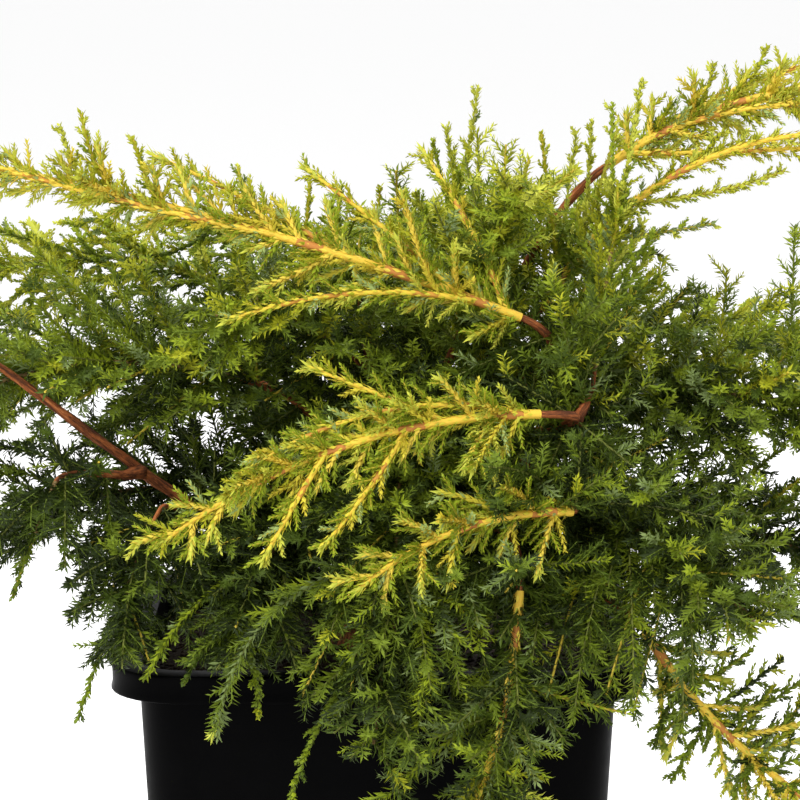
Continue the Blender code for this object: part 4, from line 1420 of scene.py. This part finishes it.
# %% Needle tree
def make_needle_tree():
    tree, given, result = new_tree(
        "needles_on_twigs",
        "GeometryNodeTree",
        (
            ("Twigs", "NodeSocketGeometry", None),
            ("Spacing", "NodeSocketFloat", 0.0009),
            ("Length", "NodeSocketFloat", 0.007),
            ("Width", "NodeSocketFloat", 0.0012),
            ("Belly", "NodeSocketFloat", 0.35),
            ("Keel", "NodeSocketFloat", 0.0003),
            ("Lean", "NodeSocketFloat", 50.0),
            ("Lean Spread", "NodeSocketFloat", 10.0),
            ("Turn", "NodeSocketFloat", 137.5),
            ("Out", "NodeSocketFloat", 0.0),
            ("Flatness", "NodeSocketFloat", 0.0),
            ("Seed", "NodeSocketInt", 1),
            ("Finish", "NodeSocketMaterial", None),
        ),
        (("Needles", "NodeSocketGeometry"),),
    )
    # The needle's outline: along Z, as wide as Y, with its keel towards X
    diamond = put(tree, "GeometryNodeMeshCircle", {"Vertices": 4, "Radius": 1.0}, fill_type="NGON")
    place = put(tree, "ShaderNodeSeparateXYZ", {0: put(tree, "GeometryNodeInputPosition").outputs[0]})
    x, y = place.outputs["X"], place.outputs["Y"]
    # The corners' heights: 0 at x = -1, the belly at x = 0 and 1 at x = 1
    squared = maths(tree, "MULTIPLY", x, x)
    bend = maths(tree, "MULTIPLY", squared, maths(tree, "SUBTRACT", 0.5, given["Belly"]))
    rise = maths(tree, "ADD", maths(tree, "ADD", maths(tree, "MULTIPLY", x, 0.5), given["Belly"]), bend)
    outline = put(
        tree,
        "ShaderNodeCombineXYZ",
        {
            "X": maths(tree, "MULTIPLY", maths(tree, "ABSOLUTE", x), given["Keel"]),
            "Y": maths(tree, "MULTIPLY", maths(tree, "MULTIPLY", y, 0.5), given["Width"]),
            "Z": maths(tree, "MULTIPLY", rise, given["Length"]),
        },
    )
    shaped = put(
        tree, "GeometryNodeSetPosition", {"Geometry": diamond.outputs[0], "Position": outline.outputs[0]}
    )
    needle = put(
        tree, "GeometryNodeTriangulate", {"Mesh": shaped.outputs[0]}, quad_method="LONGEST_DIAGONAL"
    )
    # The twigs: chains of edges made curves, with a point for each needle
    curves = put(tree, "GeometryNodeMeshToCurve", {"Mesh": given["Twigs"]})
    upright = put(tree, "GeometryNodeSetCurveNormal", {"Curve": curves.outputs[0]}, mode="Z_UP")
    steps = put(
        tree,
        "GeometryNodeCurveToPoints",
        {"Curve": upright.outputs[0], "Length": given["Spacing"]},
        mode="LENGTH",
    )
    along = put(
        tree,
        "FunctionNodeAxesToRotation",
        {"Primary Axis": steps.outputs["Tangent"], "Secondary Axis": steps.outputs["Normal"]},
        primary_axis="Z",
        secondary_axis="X",
    )
    # Round the twig by a fixed angle; flatness draws the needles towards its two sides
    number = put(tree, "GeometryNodeInputIndex").outputs[0]
    around = maths(tree, "RADIANS", maths(tree, "MULTIPLY", number, given["Turn"]))
    pull = maths(tree, "MULTIPLY", maths(tree, "SINE", maths(tree, "MULTIPLY", around, 2.0)), given["Flatness"])
    around = maths(tree, "SUBTRACT", around, pull)
    spin = put(tree, "FunctionNodeAxisAngleToRotation", {"Axis": (0.0, 0.0, 1.0), "Angle": around})
    chance = put(
        tree,
        "FunctionNodeRandomValue",
        {2: -1.0, 3: 1.0, "Seed": given["Seed"]},
        data_type="FLOAT",
    ).outputs[1]
    lean = maths(
        tree, "RADIANS", maths(tree, "ADD", given["Lean"], maths(tree, "MULTIPLY", chance, given["Lean Spread"]))
    )
    tilt = put(tree, "FunctionNodeAxisAngleToRotation", {"Axis": (0.0, 1.0, 0.0), "Angle": lean})
    spun = put(
        tree,
        "FunctionNodeRotateRotation",
        {0: along.outputs[0], 1: spin.outputs[0]},
        rotation_space="LOCAL",
    )
    leant = put(
        tree, "FunctionNodeRotateRotation", {0: spun.outputs[0], 1: tilt.outputs[0]}, rotation_space="LOCAL"
    )
    size_attribute = put(tree, "GeometryNodeInputNamedAttribute", {"Name": "size"}, data_type="FLOAT")
    varied = put(
        tree,
        "FunctionNodeRandomValue",
        {2: 0.75, 3: 1.15, "Seed": maths(tree, "ADD", given["Seed"], 7.0)},
        data_type="FLOAT",
    ).outputs[1]
    size = maths(tree, "MULTIPLY", size_attribute.outputs[0], varied)
    outward_step = put(tree, "ShaderNodeCombineXYZ", {"X": maths(tree, "MULTIPLY", given["Out"], size)})
    offset = put(
        tree, "FunctionNodeRotateVector", {"Vector": outward_step.outputs[0], "Rotation": spun.outputs[0]}
    )
    roots = put(
        tree, "GeometryNodeSetPosition", {"Geometry": steps.outputs[0], "Offset": offset.outputs[0]}
    )
    placed = put(
        tree,
        "GeometryNodeInstanceOnPoints",
        {
            "Points": roots.outputs[0],
            "Instance": needle.outputs[0],
            "Rotation": leant.outputs[0],
            "Scale": size,
        },
    )
    real = put(tree, "GeometryNodeRealizeInstances", {0: placed.outputs[0]})
    done = put(tree, "GeometryNodeSetMaterial", {0: real.outputs[0], "Material": given["Finish"]})
    tree.links.new(done.outputs[0], result["Needles"])
    return tree


needle_tree = make_needle_tree()

# %% [markdown]
# The green bark of the twigs is a thin tube along the same curves. It needs only three or four sides,
# and the size that rides on each twig tapers it.

# %% Stem tree
def make_stem_tree():
    tree, given, result = new_tree(
        "stems_on_twigs",
        "GeometryNodeTree",
        (
            ("Twigs", "NodeSocketGeometry", None),
            ("Pitch", "NodeSocketFloat", 0.008),
            ("Thickness", "NodeSocketFloat", 0.0004),
            ("Sides", "NodeSocketInt", 3),
            ("Finish", "NodeSocketMaterial", None),
        ),
        (("Stems", "NodeSocketGeometry"),),
    )
    curves = put(tree, "GeometryNodeMeshToCurve", {"Mesh": given["Twigs"]})
    steps = put(
        tree,
        "GeometryNodeResampleCurve",
        {"Curve": curves.outputs[0], "Length": given["Pitch"]},
        mode="LENGTH",
    )
    size = put(tree, "GeometryNodeInputNamedAttribute", {"Name": "size"}, data_type="FLOAT")
    sized = put(
        tree,
        "GeometryNodeSetCurveRadius",
        {"Curve": steps.outputs[0], "Radius": maths(tree, "MULTIPLY", size.outputs[0], given["Thickness"])},
    )
    ring = put(tree, "GeometryNodeCurvePrimitiveCircle", {"Resolution": given["Sides"], "Radius": 1.0})
    radius = put(tree, "GeometryNodeInputRadius")
    tube = put(
        tree,
        "GeometryNodeCurveToMesh",
        {"Curve": sized.outputs[0], "Profile Curve": ring.outputs[0], "Scale": radius.outputs[0], "Fill Caps": True},
    )
    done = put(tree, "GeometryNodeSetMaterial", {0: tube.outputs[0], "Material": given["Finish"]})
    tree.links.new(done.outputs[0], result["Stems"])
    return tree


stem_tree = make_stem_tree()

# %% [markdown]
# ## Shades, habits and stems
#
# Living needles are a little glossy, which gives the foliage its pale glints. Each shade is a plain
# colour, because a pattern would not fall on the same needle twice once the model is exported.

# %% Needle shades
SHADES = {
    "deep": (0.022, 0.036, 0.005),
    "dark": (0.062, 0.096, 0.009),
    "green": (0.150, 0.205, 0.014),
    "fresh": (0.255, 0.320, 0.016),
    "blue": (0.190, 0.250, 0.080),
    "sage": (0.330, 0.420, 0.130),
    "lime": (0.370, 0.385, 0.018),
    "pale": (0.500, 0.520, 0.060),
    "yellow": (0.620, 0.530, 0.045),
    "gold": (0.750, 0.570, 0.070),
}
STEM_SHADES = {
    "golden_leader": (0.76, 0.50, 0.05),
    "golden_shoot": (0.76, 0.53, 0.05),
    "golden_side": (0.74, 0.54, 0.05),
    "patch_leader": (0.50, 0.20, 0.04),
    "patch_placed": (0.58, 0.28, 0.04),
    "gold_stem": (0.52, 0.40, 0.04),
    "gold_twig": (0.60, 0.48, 0.05),
    "leader": (0.16, 0.10, 0.03),
    "green_stem": (0.15, 0.17, 0.03),
    "green_twig": (0.15, 0.21, 0.02),
}
HABIT_VALUES = {
    "comb": {
        "Spacing": 0.00060,
        "Length": 0.0062,
        "Width": 0.00160,
        "Belly": 0.40,
        "Lean": 55.0,
        "Flatness": 0.38,
    },
    "brush": {"Spacing": 0.00058, "Length": 0.0054, "Width": 0.00165, "Belly": 0.42, "Lean": 44.0},
    "scaly": {"Spacing": 0.00048, "Length": 0.0034, "Width": 0.00220, "Belly": 0.55, "Lean": 32.0},
    "golden": {"Spacing": 0.00052, "Length": 0.0045, "Width": 0.00185, "Belly": 0.52, "Lean": 33.0},
    "pressed": {
        "Spacing": 0.00085,
        "Length": 0.0044,
        "Width": 0.0017,
        "Belly": 0.40,
        "Lean": 11.0,
        "Lean Spread": 7.0,
        "Out": 0.0017,
    },
    "close": {
        "Spacing": 0.00052,
        "Length": 0.0042,
        "Width": 0.0019,
        "Belly": 0.45,
        "Lean": 18.0,
        "Lean Spread": 8.0,
        "Out": 0.0006,
    },
    "free": {"Spacing": 0.0026, "Length": 0.0066, "Width": 0.0015, "Lean": 40.0, "Lean Spread": 14.0},
    "tuft": {"Spacing": 0.00050, "Length": 0.0068, "Width": 0.0017, "Lean": 20.0, "Lean Spread": 12.0},
}
STEM_VALUES = {
    "golden_leader": {"Thickness": 0.0021, "Sides": 8, "Pitch": 0.004},
    "golden_shoot": {"Thickness": 0.0015, "Sides": 6, "Pitch": 0.005},
    "golden_side": {"Thickness": 0.0008, "Sides": 4, "Pitch": 0.006},
    "patch_leader": {"Thickness": 0.0021, "Sides": 8, "Pitch": 0.004},
    "patch_placed": {"Thickness": 0.0015, "Sides": 6, "Pitch": 0.005},
    "gold_stem": {"Thickness": 0.0007, "Sides": 4, "Pitch": 0.009},
    "gold_twig": {"Thickness": 0.0005, "Sides": 3, "Pitch": 0.012},
    "leader": {"Thickness": 0.0012, "Sides": 6, "Pitch": 0.006},
    "green_stem": {"Thickness": 0.0006, "Sides": 3, "Pitch": 0.010},
    "green_twig": {"Thickness": 0.0004, "Sides": 3, "Pitch": 0.018},
}


def plain_material(name, colour, roughness, specular):
    made, _, shader = material_with(name, roughness, specular)
    shader.inputs["Base Color"].default_value = (*colour, 1.0)
    return made


needle_finishes = {
    shade: plain_material(f"needle {shade}", colour, 0.50, 0.18) for shade, colour in SHADES.items()
}
stem_finishes = {
    stem: plain_material(f"stem {stem}", colour, 0.60, 0.30) for stem, colour in STEM_SHADES.items()
}

# %% [markdown]
# Twigs that share a habit and a shade go through the tree together. The chains of edges are one mesh,
# with each point's size beside it as an attribute. The results are joined into pieces of fewer than
# 200,000 triangles, needles and stems apart, and each piece stands for the masses that are in it.

# %% Needles and stems of a mass
MOST_TRIANGLES = 190000


def chains(name, twigs):
    """An object of edges only: the lines of these twigs, with their sizes as an attribute."""
    points = np.concatenate([twig.line for twig in twigs])
    sizes = np.concatenate([np.linspace(*twig.sizes, len(twig.line)) for twig in twigs])
    ends = np.cumsum([len(twig.line) for twig in twigs])
    firsts = np.delete(np.arange(len(points)), ends - 1)
    mesh = bpy.data.meshes.new(name)
    mesh.vertices.add(len(points))
    mesh.vertices.foreach_set("co", points.astype(np.float32).ravel())
    mesh.edges.add(len(firsts))
    mesh.edges.foreach_set("vertices", np.stack([firsts, firsts + 1], axis=1).astype(np.int32).ravel())
    mesh.attributes.new("size", "FLOAT", "POINT").data.foreach_set("value", sizes.astype(np.float32))
    obj = bpy.data.objects.new(name, mesh)
    bpy.context.scene.collection.objects.link(obj)
    return obj


def dressed(twigs, key, tree, values, finishes, seed):
    """The meshes that a tree makes of these twigs, one for each pair of habit and shade."""
    groups = {}
    for twig in twigs:
        groups.setdefault(key(twig), []).append(twig)
    meshes = []
    for number, group in enumerate(sorted(groups)):
        host = chains("host", groups[group])
        settings = {**values[group[0]], "Finish": finishes[group[1]]}
        if "Lean" in settings:
            settings["Seed"] = seed * 31 + number
        meshes.append(applied(host, tree, settings))
        bpy.data.meshes.remove(host.data)
    return meshes


def joined(name, meshes):
    """One mesh of several, with their materials side by side."""
    objects = []
    for mesh in meshes:
        obj = bpy.data.objects.new(name, mesh)
        bpy.context.scene.collection.objects.link(obj)
        objects.append(obj)
    if len(objects) > 1:
        with bpy.context.temp_override(
            active_object=objects[0], object=objects[0], selected_objects=objects, selected_editable_objects=objects
        ):
            bpy.ops.object.join()
    mesh = objects[0].data
    bpy.data.objects.remove(objects[0])
    return mesh


def make_pieces(kind, tone, mass_meshes):
    """Pieces of one kind and tone, each as many whole masses as stay under the limit."""
    batch, nodes, total, number = [], [], 0, 1
    for name, meshes in mass_meshes + [(None, [])]:
        count = sum(triangles(mesh) for mesh in meshes)
        if batch and (name is None or total + count > MOST_TRIANGLES):
            piece_mesh = joined(f"{kind}_{tone}_{number}", batch)
            finished(f"{kind}_{tone}_{number}", piece_mesh, *nodes, slot=f"needles_{tone}")
            batch, nodes, total, number = [], [], 0, number + 1
        if name:
            batch += meshes
            nodes.append(f"foliage_{name}")
            total += count


for tone in ("gold", "lime", "green", "dark"):
    needle_meshes, stem_meshes = [], []
    for owner, limb in enumerate(LIMBS):
        if limb.tone != tone:
            continue
        twigs = grown[limb.name]
        needled = [twig for twig in twigs if twig.habit]
        needles = dressed(
            needled, lambda twig: (twig.habit, twig.shade), needle_tree, HABIT_VALUES, needle_finishes, owner
        )
        stalks = [twig for twig in twigs if twig.stem]
        stems = dressed(stalks, lambda twig: (twig.stem, twig.stem), stem_tree, STEM_VALUES, stem_finishes, owner)
        needle_meshes.append((limb.name, needles))
        stem_meshes.append((limb.name, stems))
    make_pieces("needles", tone, needle_meshes)
    make_pieces("twigs", tone, stem_meshes)

# %% [markdown]
# ## Bark
#
# Juniper bark is stringy: it splits along the limb and peels in narrow red-brown strips. The relief
# is real geometry, rings of points pushed in and out by a noise that is stretched along the limb. The
# colour follows the limb through a UV map, measured in metres, so that the strings run the right way.

# %% Bark mesh
LEADER_WOOD = {"gold": 0.06, "lime": 0.16, "green": 0.14, "dark": 0.14}
SIDE_BOUGH = 0.60


def tube(line, radii, sides, relief, seed):
    """A closed tube with stringy relief: points, faces and a UV pair for each corner of each face."""
    ahead = np.gradient(line, axis=0)
    ahead /= np.linalg.norm(ahead, axis=1)[:, None]
    along = np.concatenate([[0.0], np.cumsum(np.linalg.norm(np.diff(line, axis=0), axis=1))])
    side = across_and_over(ahead[0])[0]
    rings = []
    for point, direction, radius, run in zip(line, ahead, radii, along):
        side = side - direction * (side @ direction)
        side /= np.linalg.norm(side)
        over = np.cross(direction, side)
        ring = []
        for corner in range(sides):
            angle = math.tau * corner / sides
            cosine, sine = math.cos(angle), math.sin(angle)
            place = Vector((cosine * 2.4 + seed, sine * 2.4, run * 45.0))
            fine = Vector((cosine * 6.0, sine * 6.0 + seed, run * 120.0))
            lift = 1 + relief * (noise.noise(place) + 0.6 * noise.noise(fine))
            ring.append(point + radius * lift * (cosine * side + sine * over))
        rings.append(np.array(ring))
    points, faces = ring_skin(rings)
    points[-2] = line[0] - ahead[0] * radii[0] * 0.3
    points[-1] = line[-1] + ahead[-1] * radii[-1] * 0.6
    girth = math.tau * float(np.mean(radii))
    corners = []
    for ring in range(len(rings) - 1):
        for corner in range(sides):
            u, w = corner / sides * girth, (corner + 1) / sides * girth
            near, far = along[ring], along[ring + 1]
            corners += [(u, near), (w, near), (w, far), (u, far)]
    for corner in range(sides):
        u, w = corner / sides * girth, (corner + 1) / sides * girth
        corners += [(w, 0.0), (u, 0.0), (u, -0.001)]
        corners += [(u, along[-1]), (w, along[-1]), (w, along[-1] + 0.001)]
    return points, faces, corners


def bough_tube(limb, seed):
    """A bough with a swollen foot in its carrier, running on into the root of its leader."""
    line = bough_lines[limb.name]
    back = line[0] - (line[1] - line[0]) / np.linalg.norm(line[1] - line[0]) * 0.006
    leader = leader_of(limb, 0.003)
    wood_share = 0.0 if limb.name in GOLDEN_STEMMED else LEADER_WOOD[limb.tone]
    wood = leader[1 : max(3, int(wood_share * len(leader)))]
    line = resampled(np.concatenate([back[None], line, wood]), WOOD_STEP)
    bough_length = np.linalg.norm(np.diff(bough_lines[limb.name], axis=0), axis=1).sum()
    slimmer = 0.88 if limb.forks_from == "trunk" else SIDE_BOUGH
    radii = []
    for index in range(len(line)):
        run = index * WOOD_STEP
        if run < bough_length:
            radius = BOUGH_RADIUS + (0.8 * BOUGH_TIP_RADIUS - BOUGH_RADIUS) * (run / bough_length) ** 0.7
        else:
            radius = max(0.0010, 0.8 * BOUGH_TIP_RADIUS - (run - bough_length) * 0.035)
        radii.append(radius * slimmer * (1 + 0.45 * math.exp(-run / 0.006)))
    return tube(line, radii, 14, 0.34, seed)


def trunk_tube():
    shares = np.linspace(0.0, 1.0, 60) ** 1.3
    line = np.array([trunk_axis(t) for t in shares])
    line[0][2] -= 0.003
    points, faces, corners = tube(line, [trunk_radius(t) for t in shares], 40, 0.16, 77.0)
    for index, point in enumerate(points[: 60 * 40]):
        t = shares[index // 40]
        angle = math.tau * (index % 40) / 40
        ridge = 1 + RIDGE_DEPTH * math.cos(ROOT_RIDGES * angle) * math.exp(-4 * t)
        middle = line[index // 40]
        point[:] = middle + (point - middle) * ridge
    return points, faces, corners


def make_bark():
    tubes = [trunk_tube()] + [bough_tube(limb, 3.7 * owner) for owner, limb in enumerate(LIMBS)]
    points, faces, corners, first = [], [], [], 0
    for tube_points, tube_faces, tube_corners in tubes:
        points.append(tube_points)
        faces += [tuple(first + corner for corner in face) for face in tube_faces]
        corners += tube_corners
        first += len(tube_points)
    mesh = bpy.data.meshes.new("bark")
    mesh.from_pydata(np.concatenate(points).tolist(), [], faces)
    layer = mesh.uv_layers.new(name="along_the_limb")
    layer.data.foreach_set("uv", np.array(corners, np.float32).ravel())
    mesh.shade_smooth()
    return mesh


def make_bark_finish():
    made, tree, shader = material_with("stringy bark", 0.8, 0.2)
    along = put(tree, "ShaderNodeUVMap", uv_map="along_the_limb").outputs[0]
    stretched = put(tree, "ShaderNodeMapping", {"Vector": along, "Scale": (1.0, 0.16, 1.0)}).outputs[0]
    strings = put(tree, "ShaderNodeGroup", {}, node_tree=mottling)
    tree.links.new(stretched, strings.inputs["Place"])
    strings.inputs["Scale"].default_value = 420.0
    strings.inputs["Contrast"].default_value = 3.2
    colour = ramp(
        tree,
        strings.outputs["Mask"],
        (
            (0.0, (0.030, 0.012, 0.007)),
            (0.35, (0.120, 0.038, 0.014)),
            (0.65, (0.340, 0.100, 0.028)),
            (1.0, (0.560, 0.220, 0.075)),
        ),
    )
    tree.links.new(colour, shader.inputs["Base Color"])
    bump = put(
        tree, "ShaderNodeBump", {"Height": strings.outputs["Height"], "Strength": 0.7, "Distance": 0.0012}
    )
    tree.links.new(bump.outputs["Normal"], shader.inputs["Normal"])
    return made


bark_finish = make_bark_finish()
bark_mesh = make_bark()
bark_mesh.materials.append(bark_finish)
finished("bark_limbs", bark_mesh, "trunk", *[f"bough_{limb.name}" for limb in LIMBS], slot="bark")
